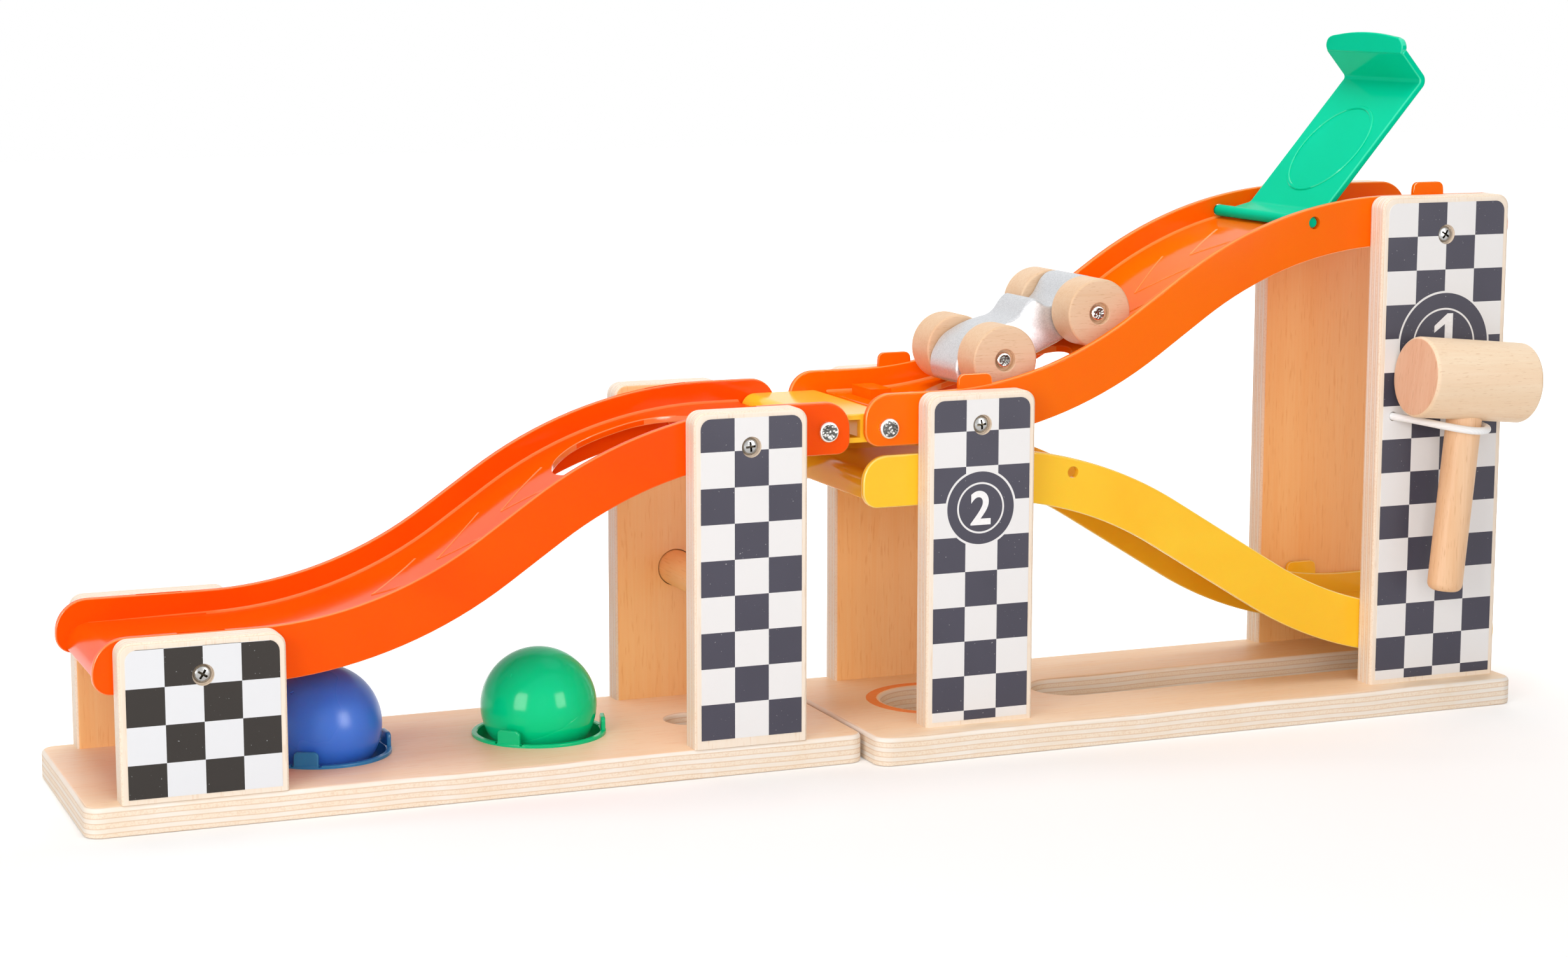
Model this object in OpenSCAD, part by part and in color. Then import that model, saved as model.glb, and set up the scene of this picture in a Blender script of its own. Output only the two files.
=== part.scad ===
// Ball pounding toy: two plywood frames with plastic tracks, joined by a folding link.
// The origin is on the underside of the right base, straight below the right hinge pin.
// X runs along the toy to the right, Y runs to the back and Z runs up. Sizes are in millimetres.

/* [Bases] */
// Thickness of both base boards
base_t = 11; // [8:0.5:18]
// Corner radius of the boards in plan
base_r = 6; // [2:0.5:14]
// Gap between the two boards when the toy is open
base_gap = 1.5; // [0.8:0.1:5]
// How far the left board runs past the short posts
left_over = 12.5; // [4:0.5:30]
// How far the right board runs past the tower
right_over = 4; // [1:0.5:30]
// How far the right board stands out in front of its posts
right_lip = 10; // [0:0.5:30]

/* [Posts] */
// Width of a frame over the outer faces of its posts
frame_w = 98; // [84:1:130]
// Thickness of the post boards
post_t = 10; // [8:0.5:14]
// Height of the left tall posts above the base
tall_h = 126; // [104:1:156]
// How much taller the right frame's posts are
right_up = 2; // [0:0.5:6]
// Height that each upper track climbs between its posts
rise = 69; // [50:1:80]
// Width of the tall posts beside the link
tall_w = 45; // [36:1:56]
// Width of the short posts and of the tower
wide_w = 59; // [48:1:70]
// Distance from the middle of the link to the centre of a tall post
tall_x = 47; // [40:0.5:58]
// Distance from the middle of the link to the centre of a short post or the tower
wide_x = 251.5; // [236:0.5:310]
// Corner radius at the tops of the posts
post_r = 5; // [1:0.5:10]

/* [Tracks] */
// Height of a track wall
track_h = 20; // [16:0.5:24]
// Thickness of a track wall
wall_t = 3; // [2:0.1:4]
// Thickness of a track floor
floor_t = 2.5; // [1.6:0.1:4]
// Radius of the centre line in the bends
bend_r = 160; // [90:1:160]
// How far the bend starts before the tall post's centre
ramp_in = 14.5; // [8:0.5:20]
// How far the bend ends before the tower's centre
ramp_out = 19; // [10:0.5:30]
// How far the tracks run past the centre of the tower
track_over = 36.5; // [32:0.5:44]
// Gap between the upper track and the lower one
low_gap = 3.5; // [1:0.5:8]
// Clearance under the low end of the lower track
low_clear = 8.5; // [4:0.5:16]
// Length of a ball opening in a track floor
open_l = 60; // [52:1:72]
// Length of the locking tabs on the wall tops
tab_l = 14; // [8:1:20]
// Height of the locking tabs
tab_h = 5; // [3:0.5:6]

/* [Folding link] */
// Distance between the two hinge pins
link_l = 24.8; // [22:0.2:30]
// Radius of the link round a pin
link_r = 5.5; // [4.5:0.1:6]
// Diameter of the hinge pins
pin_d = 4; // [3:0.1:5]
// How far the track ears reach past the pins
ear_over = 9.2; // [7:0.1:10]
// Gap between the post tops when the toy is folded flat
fold_gap = 0.6; // [0.4:0.1:2]

/* [Balls] */
// Diameter of the balls
ball_d = 44; // [36:0.2:54]
// Distance from the middle of the link to the first ball
ball_x = 114.4; // [104:0.2:122]
// Distance from the first ball to the second one
ball_step = 83.6; // [74:0.2:90]
// Height of the grip tabs over the ring's flange
grip_h = 5; // [3:0.5:8]

/* [Flap] */
// Distance of the flap's pivot before the tower's centre
flap_in = 55; // [48:0.5:60]
// Width of the flap's plate
flap_w = 57; // [46:1:60]
// Length of the plate between its two bends
flap_l = 69; // [56:1:80]
// Length of the turned-back top
flap_top = 15.6; // [10:0.2:20]
// Angle of the plate at rest
flap_a = 49; // [40:0.5:56]
// Height of the lip along the flap's top
flap_lip = 7.2; // [4:0.2:9]

/* [Car] */
// Width over the wheels
car_w = 58; // [50:1:60]
// Distance between the axles
car_base = 43.8; // [40:0.2:50]
// Diameter of the wheels
wheel_d = 27; // [22:0.1:33]
// Thickness of a wheel
wheel_t = 15.5; // [10:0.5:17]
// Angle from the middle of the car to the end of the lower bend
car_back = 12; // [10:0.5:16]

/* [Hammer] */
// Diameter of the head
head_d = 32; // [26:0.5:36]
// Length of the head
head_l = 50; // [40:1:60]
// Diameter of the handle
grip_d = 14; // [10:0.5:14.5]
// Length of the handle below the head's centre
grip_l = 85; // [60:1:100]
// Height of the head's centre above the base
head_z = 125; // [125:0.5:140]
// Lean of the hammer in its loop
lean = 5.5; // [3:0.5:7]
// Diameter of the elastic loop
loop_d = 3; // [2:0.1:3.4]

/* [Hidden] */
$fn = 64;
fit = 0.05;      // radial clearance of turning parts
seat = 0.03;     // radial clearance of fixed pins and screws
side = 0.5;      // side clearance of moving parts
label_t = 0.2;   // thickness of the paper labels
label_in = 2.5;  // plain border round a label
screw_r = 3.3;   // head radius of the frame screws
recess_r = 3.9;  // radius of the recesses in the posts
recess_t = 2.5;  // depth of those recesses
shank_r = 1.6;   // radius of the screw shanks
shank_l = 14;    // length of the screw shanks
boss_r = 3.2;    // radius of the screw bosses in the tracks
boss_l = 7;      // length of those bosses
foot_r = 3.4;    // head radius of the foot screws
foot_l = 26;     // length of the foot screws
peg_r = 3;       // radius of the lower track's pegs
peg_l = 5;       // depth of the lower track's pegs
dowel_r = 7;     // radius of the cross dowel
cord_gap = 0.3;  // clearance round the loop in its holes
flange_t = 1.2;  // thickness of the seat rings' flange
stop_l = 9;      // length of the stop blocks on the upper track
stop_h = 4;      // height of those blocks above the floor
ring_turn = [105, 122];  // first grip's angle on the green ring and on the blue one

track_w = frame_w - 2 * post_t;
chan_w = track_w - 2 * wall_t;
outer_y = frame_w / 2;
post_y = outer_y - post_t / 2;
wall_y = track_w / 2 - wall_t / 2;
pin_x = link_l / 2;

left_end = -wide_x - wide_w / 2 - left_over;
right_end = wide_x + wide_w / 2 + right_over;
left_top = base_t + tall_h;
short_h = tall_h - rise;
post2_h = tall_h + right_up;
tower_h = post2_h + rise;
right_top = base_t + post2_h;
pin_z = (left_top + right_top + fold_gap - link_l) / 2;

ramp_x0 = tall_x - ramp_in;
ramp_x1 = wide_x - ramp_out;
run = ramp_x1 - ramp_x0;
track_x1 = wide_x + track_over;
ear_x = pin_x - ear_over;
floor_x0 = pin_x + link_r + 0.8;
floor_x1 = track_x1 - 12;
stop_x1 = floor_x0 + 16;
left_z0 = left_top - rise - track_h / 2;
right_z0 = right_top - track_h / 2;
open_w = ball_d + 4;
open_x = tall_x + open_l / 2;

low_x0 = tall_x + 1;
low_x1 = wide_x + 10.5;
low_run = low_x1 - low_x0;
low_end = 2.5;
low_z1 = right_z0 - track_h - low_gap;
low_z0 = base_t + low_clear + track_h / 2;
low_rise = low_z1 - low_z0;

ring_bore = ball_d / 2 + 1.2;
ring_out = ring_bore + 1.1;
ring_flange = ring_bore + 2.2;
ball_z = ball_d / 2 + 0.1;

flap_x = wide_x - flap_in;
rod_r = 2.4;
flap_pin_r = 2;
lip_l = 11.3;
plate_t = 2.5;
flap_z = height(flap_x, 1) + floor_t / 2 + rod_r + 0.5;

wheel_off = floor_t / 2 + 0.3 + wheel_d / 2;
bend = bend_of(run, rise);
wheel_path = bend - wheel_off;
car_half = asin(car_base / 2 / wheel_path);
stop_gap = sqrt(max(0, pow(wheel_d / 2, 2) - pow(wheel_d / 2 + 0.3 - stop_h, 2))) + 0.5;
car_low = asin((stop_x1 + stop_gap - ramp_x0) / wheel_path);
car_a = max(slope(run, rise) - car_back, car_half + car_low);
car_mid = wheel_path * cos(car_half);
car_x = ramp_x0 + car_mid * sin(car_a);
car_z = right_z0 + bend - car_mid * cos(car_a);
body_w = car_w - 2 * wheel_t - 2 * side - 1;
hub_r = 4.3;
hub_t = 3;
cap_r = 3.15;

head_y = -outer_y - label_t - 0.4 - head_d / 2;
head_x = wide_x + 1.5;
hang_z = base_t + head_z;

// Route of the elastic loop: out of the tower, round the handle and back. The points are measured
// from the tower's centre, its front face and the base; both ends are knotted behind the post.
loop_q = [[-22.5, -1, 109.5], [-20, -6, 109.2], [-15.5, -12.5, 108.4], [-10.5, -20, 107.4],
    [-6, -24.2, 106.6], [-1, -25.9, 105.9], [4, -25, 105.6], [7.8, -21.4, 105.7], [9.3, -16, 106],
    [9.5, -9, 106.6], [9.5, -1, 107]];
loop_in = [loop_q[0], loop_q[len(loop_q) - 1]];
loop_p = [for (q = concat([[loop_in[0][0], post_t + 3, loop_in[0][2]]], [[loop_in[0][0], 5, loop_in[0][2]]],
    loop_q, [[loop_in[1][0], 5, loop_in[1][2]]], [[loop_in[1][0], post_t + 3, loop_in[1][2]]]))
    [q[0] + wide_x, q[1] - outer_y, q[2] + base_t]];

// Points on an arc, in the XZ plane
function arc(cx, cz, r, a0, a1, n = 6) =
    [for (i = [0:n]) let (a = a0 + (a1 - a0) * i / n) [cx + r * cos(a), cz + r * sin(a)]];

// Largest bend radius, up to bend_r, that leaves a straight piece between the two bends
function bend_of(l, h) = min(bend_r, 0.99 * (l * l + h * h) / (4 * h));

// Slope of the straight piece between two bends
function slope(l, h) = let (r = bend_of(l, h), a = l / 2, b = r - h / 2)
    atan2(a, b) - acos(r / sqrt(a * a + b * b));

// Rising S-curve from (x, z), moved square to itself by d
function ramp(x, z, l, h, d, n = 12) = let (r = bend_of(l, h), a = slope(l, h))
    concat(arc(x, z + r, r - d, -90, -90 + a, n), arc(x + l, z + h - r, r + d, 90 + a, 90, n));

// Height of an upper track's centre line at distance x from the link; up is 1 on the right frame
function height(x, up) = let (r = bend_of(run, rise), a = slope(run, rise),
    z0 = up == 1 ? right_z0 : left_z0, s = up == 1 ? 1 : -1,
    u = up == 1 ? x - ramp_x0 : ramp_x1 - x, e = r * sin(a))
    u <= 0 ? z0 : u >= run ? z0 + rise
    : u < e ? z0 + r - sqrt(r * r - u * u)
    : u > run - e ? z0 + rise - r + sqrt(r * r - (run - u) * (run - u))
    : z0 + r - r * cos(a) + (u - e) * tan(a);

function back(p) = [for (i = [len(p) - 1:-1:0]) p[i]];

// Outline of a track wall: round ends and an S-curve between them
function wall(x0, x1, rx, z, l, h, rt0, rb0, rt1, rb1) = let (t = track_h / 2) concat(
    arc(x0 + rb0, z - t + rb0, rb0, 270, 180), arc(x0 + rt0, z + t - rt0, rt0, 180, 90),
    ramp(rx, z, l, h, t), arc(x1 - rt1, z + h + t - rt1, rt1, 90, 0),
    arc(x1 - rb1, z + h - t + rb1, rb1, 0, -90), back(ramp(rx, z, l, h, -t)));

// Outline of a track floor
function deck(x0, x1, rx, z, l, h) = let (t = floor_t / 2) concat(
    [[x0, z - t], [x0, z + t]], ramp(rx, z, l, h, t), [[x1, z + h + t], [x1, z + h - t]],
    back(ramp(rx, z, l, h, -t)));

// The measuring point of every piece is the middle of the link; the part's origin is below a pin
module frame() { translate([-pin_x, 0, 0]) children(); }

// An outline in the XZ plane made thick along Y
module prism(y, t) { translate([0, y, 0]) rotate([90, 0, 0]) linear_extrude(t, center = true) children(); }

// A round bar or hole along Y
module rod(x, y, z, r, l) { translate([x, y, z]) rotate([90, 0, 0]) cylinder(r = r, h = l, center = true); }

module box(x0, x1, y0, y1, z0, z1) { translate([x0, y0, z0]) cube([x1 - x0, y1 - y0, z1 - z0]); }

// A board seen from above with round corners
module plan(x0, x1, y0, y1, r) {
    polygon(concat(arc(x1 - r, y1 - r, r, 0, 90), arc(x0 + r, y1 - r, r, 90, 180),
        arc(x0 + r, y0 + r, r, 180, 270), arc(x1 - r, y0 + r, r, 270, 360)));
}

// A slot with round ends along X
module slot(x, y, l, w) {
    translate([x, y]) square([l - w, w], center = true);
    for (s = [-1, 1]) translate([x + s * (l - w) / 2, y]) circle(w / 2);
}

// A dished plug with its flat face on z = 0
module dome(r, h) {
    rotate_extrude() polygon(concat([[0, 0], [r, 0]], [for (i = [1:6]) [r * cos(15 * i), h * sin(15 * i)]]));
}

// Places of the foot screws of a pair of posts
module feet(x, w) { for (s = [-1, 1], y = [-1, 1]) translate([x + s * w * 0.3, y * post_y, 0]) children(); }

module foot_screw() {
    translate([0, 0, 0.8]) cylinder(r = foot_r, h = 2.2);
    translate([0, 0, 3]) cylinder(r = shank_r, h = foot_l - 3);
}

module foot_hole() {
    translate([0, 0, -1]) cylinder(r = foot_r + 0.3, h = 4);
    cylinder(r = shank_r + seat, h = foot_l + 1);
}

// A frame screw: s is -1 on the front and 1 on the back
module side_screw(x, z, s) {
    translate([x, s * (outer_y - recess_t), z]) rotate([s * -90, 0, 0]) {
        difference() {
            dome(screw_r, 2);
            for (a = [0, 90]) rotate([0, 0, a]) translate([0, 0, 1.9]) cube([3.8, 0.9, 2], center = true);
        }
        translate([0, 0, -shank_l]) cylinder(r = shank_r, h = shank_l);
    }
}

module side_hole(x, z, s) {
    rod(x, s * outer_y, z, recess_r, 2 * recess_t);
    rod(x, s * outer_y, z, shank_r + seat, 2 * (recess_t + shank_l + 1));
}

// Heights of the frame screws, below the track floors
function screw_z(x, up) = height(x, up) - floor_t / 2 - (up == 1 && x == wide_x ? boss_r + 0.9 : boss_r - 1.5);

// An upright board with round top corners; s is -1 on the front and 1 on the back
module post(x, w, h, s) {
    prism(s * post_y, post_t) polygon(concat([[x - w / 2, base_t], [x + w / 2, base_t]],
        arc(x + w / 2 - post_r, base_t + h - post_r, post_r, 0, 90),
        arc(x - w / 2 + post_r, base_t + h - post_r, post_r, 90, 180)));
}

// A paper label on the front of a post; foot is its height over the base
module label(x, w, h, foot = 1.8) {
    y = -outer_y - label_t / 2;
    x0 = x - w / 2 + label_in;
    x1 = x + w / 2 - label_in;
    z0 = base_t + foot;
    z1 = base_t + h - label_in;
    r = post_r - 1;
    prism(y, label_t) polygon(concat([[x0, z0], [x1, z0]], arc(x1 - r, z1 - r, r, 0, 90),
        arc(x0 + r, z1 - r, r, 90, 180)));
}

// Holes for the two ends of the elastic loop
module loop_holes() {
    for (i = [1, len(loop_p) - 2]) rod(loop_p[i][0], -outer_y, loop_p[i][2], loop_d / 2 + cord_gap, 4 * post_t);
}

module base_board(x0, x1, y0, y1) { linear_extrude(base_t) plan(x0, x1, y0, y1, base_r); }

module right_base() {
    color("burlywood") frame() difference() {
        base_board(base_gap / 2, right_end, -outer_y - right_lip, outer_y);
        translate([tall_x + 3, -4, -1]) cylinder(r = ball_d / 2 + 0.5, h = base_t + 2);
        translate([0, 0, -1]) linear_extrude(base_t + 2)
            slot((tall_x + wide_x) / 2 + 31, -5, wide_x - tall_x - 29.5, 30);
        feet(tall_x, tall_w) foot_hole();
        feet(wide_x, wide_w) foot_hole();
    }
}

module left_base() {
    color("burlywood") frame() difference() {
        base_board(left_end, -base_gap / 2, -outer_y, outer_y);
        for (x = [ball_x, ball_x + ball_step])
            translate([-x, 0, -1]) cylinder(r = ring_out + seat, h = base_t + 2);
        translate([-tall_x - 6, 0, -1]) cylinder(r = 10, h = base_t + 2);
        feet(-tall_x, tall_w) foot_hole();
        feet(-wide_x, wide_w) foot_hole();
    }
}

// Right frame's tall post with the peg hole of the lower track
module post2(s) {
    color("navajowhite") frame() difference() {
        post(tall_x, tall_w, post2_h, s);
        side_hole(tall_x, screw_z(tall_x, 1), s);
        feet(tall_x, tall_w) foot_hole();
        rod(tall_x, s * track_w / 2, low_z1, peg_r + seat, 2 * peg_l);
    }
}

module tower(s) {
    color("navajowhite") frame() difference() {
        post(wide_x, wide_w, tower_h, s);
        side_hole(wide_x, screw_z(wide_x, 1), s);
        feet(wide_x, wide_w) foot_hole();
        rod(wide_x, s * track_w / 2, low_peg_z(), peg_r + seat, 2 * peg_l);
        if (s < 0) loop_holes();
    }
}

module post2_front() { post2(-1); }
module post2_back() { post2(1); }
module tower_front() { tower(-1); }
module tower_back() { tower(1); }

module short_post(s) {
    color("navajowhite") frame() difference() {
        post(-wide_x, wide_w, short_h, s);
        side_hole(-wide_x, screw_z(wide_x, 0), s);
        feet(-wide_x, wide_w) foot_hole();
    }
}

// Left frame's tall post with the blind hole of the cross dowel
module tall_post(s) {
    color("navajowhite") frame() difference() {
        post(-tall_x, tall_w, tall_h, s);
        side_hole(-tall_x, screw_z(tall_x, 0), s);
        feet(-tall_x, tall_w) foot_hole();
        rod(-tall_x + 2.5, s * track_w / 2, base_t + 52, dowel_r + seat, post_t);
    }
}

module short_front() { short_post(-1); }
module short_back() { short_post(1); }
module tall_front() { tall_post(-1); }
module tall_back() { tall_post(1); }

module cross_dowel() {
    color("wheat") frame() rod(-tall_x + 2.5, 0, base_t + 52, dowel_r, track_w + post_t - 0.4);
}

// Screw bosses on the inner faces of the walls
module bosses(x, z) { for (s = [-1, 1]) rod(x, s * (track_w / 2 - boss_l / 2), z, boss_r, boss_l); }

module boss_holes(x, z) { rod(x, 0, z, shank_r + seat, track_w + 2); }

// A locking tab on a wall top, and the slot that takes it when the toy is folded; s is the side
module lock_tab(x, s, z) {
    box(x - tab_l / 2, x + tab_l / 2, s * wall_y - 0.6, s * wall_y + 0.6,
        z + track_h / 2 - 3, z + track_h / 2 + tab_h);
}

module lock_slot(x, s, z) {
    box(x - tab_l / 2 - 1.5, x + tab_l / 2 + 1.5, s * wall_y - 0.8, s * wall_y + 0.8,
        z + track_h / 2 - tab_h - 1, z + track_h);
}

module upper_track() {
    color("darkorange") frame() difference() {
        union() {
            for (s = [-1, 1]) prism(s * wall_y, wall_t)
                polygon(wall(ear_x, track_x1, ramp_x0, right_z0, run, rise, 10, 6, 12, 6));
            prism(0, chan_w + 1) polygon(deck(floor_x0, floor_x1, ramp_x0, right_z0, run, rise));
            bosses(tall_x, screw_z(tall_x, 1));
            bosses(wide_x, screw_z(wide_x, 1));
            for (x = [tall_x + 2, wide_x - 2], s = [-1, 1]) lock_tab(x, s, height(x, 1));
            for (s = [-1, 1]) box(stop_x1 - stop_l, stop_x1, s * chan_w * 0.236 - 9,
                s * chan_w * 0.236 + 9, right_z0, right_z0 + floor_t / 2 + stop_h);
        }
        rod(pin_x, 0, pin_z, pin_d / 2 + seat, track_w + 2);
        rod(flap_x, 0, flap_z, flap_pin_r + fit, track_w + 2);
        boss_holes(tall_x, screw_z(tall_x, 1));
        boss_holes(wide_x, screw_z(wide_x, 1));
        translate([0, 0, right_z0 - 10]) linear_extrude(rise + 10) slot(open_x, 0, open_l, open_w);
    }
}

module left_track() {
    color("darkorange") frame() difference() {
        union() {
            for (s = [-1, 1]) prism(s * wall_y, wall_t)
                polygon(wall(-track_x1, -ear_x, -ramp_x1, left_z0, run, rise, 12, 6.5, 10, 5));
            prism(0, chan_w + 1) polygon(deck(-floor_x1, -floor_x0, -ramp_x1, left_z0, run, rise));
            bosses(-tall_x, screw_z(tall_x, 0));
            bosses(-wide_x, screw_z(wide_x, 0));
        }
        for (x = [tall_x + 2, wide_x - 2], s = [-1, 1]) lock_slot(-x, s, height(x, 0));
        rod(-pin_x, 0, pin_z, pin_d / 2 + seat, track_w + 2);
        boss_holes(-tall_x, screw_z(tall_x, 0));
        boss_holes(-wide_x, screw_z(wide_x, 0));
        translate([0, 0, left_z0 + 5]) linear_extrude(rise) slot(-open_x, 0, open_l, open_w);
    }
}

// Height of the lower track's centre line in its low bend
function low_height(x) = let (r = bend_of(low_run, low_rise), u = max(low_x1 - x, 0))
    low_z0 + r - sqrt(r * r - u * u);
function low_peg_z() = low_height(wide_x);

module lower_track() {
    color("gold") frame() difference() {
        union() {
            mirror([1, 0, 0]) for (s = [-1, 1]) prism(s * wall_y, wall_t)
                polygon(wall(-track_x1, -low_end, -low_x1, low_z0, low_run, low_rise, 12, 6, 10, 6));
            mirror([1, 0, 0]) prism(0, chan_w + 1)
                polygon(deck(-floor_x1, -low_end - 12, -low_x1, low_z0, low_run, low_rise));
            for (s = [-1, 1]) rod(tall_x, s * (track_w + peg_l - 1) / 2, low_z1, peg_r, peg_l);
            for (s = [-1, 1]) rod(wide_x, s * (track_w + peg_l - 1) / 2, low_peg_z(), peg_r, peg_l);
            for (s = [-1, 1]) lock_tab(wide_x - 10, s, low_height(wide_x - 10));
        }
        rod(tall_x + 44, 0, low_z1 - 1, 2.3, track_w + 2);
    }
}

module screws_right() {
    color("silver") frame() for (s = [-1, 1]) {
        side_screw(tall_x, screw_z(tall_x, 1), s);
        side_screw(wide_x, screw_z(wide_x, 1), s);
    }
}

module screws_left() {
    color("silver") frame() for (s = [-1, 1]) {
        side_screw(-tall_x, screw_z(tall_x, 0), s);
        side_screw(-wide_x, screw_z(wide_x, 0), s);
    }
}

module foot_screws_right() {
    color("silver") frame() {
        feet(tall_x, tall_w) foot_screw();
        feet(wide_x, wide_w) foot_screw();
    }
}

module foot_screws_left() {
    color("silver") frame() {
        feet(-tall_x, tall_w) foot_screw();
        feet(-wide_x, wide_w) foot_screw();
    }
}

module post2_label() {
    color("whitesmoke") frame() difference() {
        label(tall_x, tall_w, post2_h);
        side_hole(tall_x, screw_z(tall_x, 1), -1);
    }
}

module tower_label() {
    color("whitesmoke") frame() difference() {
        label(wide_x, wide_w, tower_h);
        side_hole(wide_x, screw_z(wide_x, 1), -1);
        loop_holes();
    }
}

module short_label() {
    color("whitesmoke") frame() difference() {
        label(-wide_x, wide_w, short_h);
        side_hole(-wide_x, screw_z(wide_x, 0), -1);
    }
}

module tall_label() {
    color("whitesmoke") frame() difference() {
        label(-tall_x, tall_w, tall_h, 3.3);
        side_hole(-tall_x, screw_z(tall_x, 0), -1);
    }
}

// A hinge pin with domed caps outside the ears
module hinge_pin(x) {
    color("gainsboro") frame() {
        rod(x, 0, pin_z, pin_d / 2, track_w);
        for (s = [-1, 1]) translate([x, s * track_w / 2, pin_z]) rotate([s * -90, 0, 0]) dome(pin_d, 2.4);
    }
}

module hinge_pin_right() { hinge_pin(pin_x); }
module hinge_pin_left() { hinge_pin(-pin_x); }

module link() {
    w = chan_w - 2 * side;
    color("gold") frame() difference() {
        union() {
            for (s = [-1, 1]) rod(s * pin_x, 0, pin_z, link_r, w);
            box(-pin_x, pin_x, -w / 2, w / 2, pin_z - link_r, pin_z + link_r);
        }
        box(-pin_x + 4.2, pin_x - 4.2, -w / 2 + 3, w / 2 - 3, pin_z - link_r - 1, pin_z + link_r - 1.6);
        box(-2.5, 2.5, -w, w, pin_z - 3.5, pin_z + 3.4);
        for (s = [-1, 1]) rod(s * pin_x, 0, pin_z, pin_d / 2 + fit, w + 2);
    }
}

// A plastic seat with three upright grips round its bore
module seat_ring(x, turn) {
    grips = [turn, turn + 120, turn + 240];
    translate([-x, 0, 0]) difference() {
        union() {
            translate([0, 0, 0.6]) cylinder(r = ring_out, h = base_t - 0.6);
            translate([0, 0, base_t]) cylinder(r = ring_flange, h = flange_t);
            intersection() {
                translate([0, 0, base_t]) cylinder(r = ring_out, h = flange_t + grip_h);
                for (a = grips) rotate([0, 0, a])
                    translate([0, -4.5, base_t - 2]) cube([1.5 * ring_flange, 9, 14]);
            }
        }
        translate([0, 0, -1]) cylinder(r = ring_bore, h = base_t + grip_h + 6);
        for (a = grips, s = [-1, 1]) rotate([0, 0, a])
            translate([ring_bore, s * 5.1 - 0.5, base_t + 0.6]) cube([6, 1, 4]);
    }
}

module ring_green() { color("limegreen") frame() seat_ring(ball_x, ring_turn[0]); }
module ring_blue() { color("dodgerblue") frame() seat_ring(ball_x + ball_step, ring_turn[1]); }

module ball(x) { translate([-x, 0, ball_z]) sphere(d = ball_d); }

module ball_green() { color("limegreen") frame() ball(ball_x); }
module ball_blue() { color("royalblue") frame() ball(ball_x + ball_step); }

// A flat bar in the plane from p, with round ends
module bar(p, a, l, t) {
    translate(p) rotate(a) translate([0, -t / 2]) square([l, t]);
    translate(p) circle(t / 2);
    translate(p + l * [cos(a), sin(a)]) circle(t / 2);
}

// An upright plate with a crowned top and round corners, w to each side and h high
module crest(h, w) {
    big = 156;
    c = 4;
    z = h - big + sqrt(pow(big - c, 2) - pow(w - c, 2));
    a = atan2(z - h + big, w - c);
    rotate([90, 0, 90]) linear_extrude(plate_t, center = true) polygon(concat([[-w, 0], [w, 0]],
        arc(w - c, z, c, 0, a), arc(0, h - big, big, a, 180 - a, 24), arc(c - w, z, c, 180 - a, 180)));
}

module flap() {
    lip_a = 13.8;
    knee = [flap_x, flap_z] + lip_l * [cos(lip_a), sin(lip_a)];
    bend_p = knee + flap_l * [cos(flap_a), sin(flap_a)];
    top_a = flap_a + 81.5;
    top_p = bend_p + flap_top * [cos(top_a), sin(top_a)];
    mid = knee + 0.45 * flap_l * [cos(flap_a), sin(flap_a)];
    color("mediumaquamarine") frame() {
        prism(0, flap_w) {
            bar([flap_x, flap_z], lip_a, lip_l, 2 * rod_r - 0.8);
            bar(knee, flap_a, flap_l, plate_t);
            bar(bend_p, top_a, flap_top, plate_t);
        }
        translate([top_p[0], 0, top_p[1]]) crest(flap_lip, flap_w / 2);
        rod(flap_x, 0, flap_z, rod_r, chan_w - 2 * side);
        rod(flap_x, 0, flap_z, flap_pin_r, track_w - 0.4);
        translate([mid[0], 0, mid[1]]) rotate([0, -flap_a, 0]) difference() {
            cylinder(r = 22.2, h = plate_t / 2 + 0.6);
            translate([0, 0, plate_t / 2]) cylinder(r = 20.7, h = 2);
        }
    }
}

// The hammer hangs upright and leans in its loop
module hang() { frame() translate([head_x, head_y, hang_z]) rotate([0, lean, 0]) children(); }

module hammer_head() {
    r = head_d / 2;
    e = 2;
    color("wheat") hang() difference() {
        rotate([0, 90, 0]) rotate_extrude() polygon(concat([[0, -head_l / 2]],
            arc(r - e, -head_l / 2 + e, e, -90, 0), arc(r - e, head_l / 2 - e, e, 0, 90),
            [[0, head_l / 2]]));
        translate([0, 0, -r - 1]) cylinder(d = grip_d + 2 * seat, h = r + 9);
    }
}

module hammer_handle() {
    r = grip_d / 2;
    color("wheat") hang() rotate_extrude() polygon(concat([[0, -grip_l]],
        arc(r - 3, -grip_l + 3, 3, -90, 0), [[r, 7.6], [0, 7.6]]));
}

// Rings of points square to a route, joined into one closed tube
module tube(p, d, n = 8) {
    function dir(i) = let (v = p[min(i + 1, len(p) - 1)] - p[max(i - 1, 0)]) v / norm(v);
    m = len(p);
    ring = [for (i = [0:m - 1]) let (t = dir(i), s = cross(t, [0, 0, 1]), u = s / norm(s), w = cross(u, t))
        for (k = [0:n - 1]) p[i] + d / 2 * (cos(360 * k / n) * u + sin(360 * k / n) * w)];
    sides = [for (i = [0:m - 2], k = [0:n - 1]) let (a = i * n + k, b = i * n + (k + 1) % n)
        each [[a, b, b + n], [a, b + n, a + n]]];
    caps = [for (k = [1:n - 2]) each [[0, k + 1, k], [(m - 1) * n, (m - 1) * n + k, (m - 1) * n + k + 1]]];
    polyhedron(ring, concat(sides, caps), convexity = 6);
}

module hammer_loop() {
    color("white") frame() {
        tube(loop_p, loop_d);
        for (i = [0, len(loop_p) - 1]) translate(loop_p[i]) sphere(r = loop_d - 0.4);
    }
}

// The car stands on the lower bend of the upper track
module on_track() { frame() translate([car_x, 0, car_z]) rotate([0, -car_a, 0]) children(); }

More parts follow.
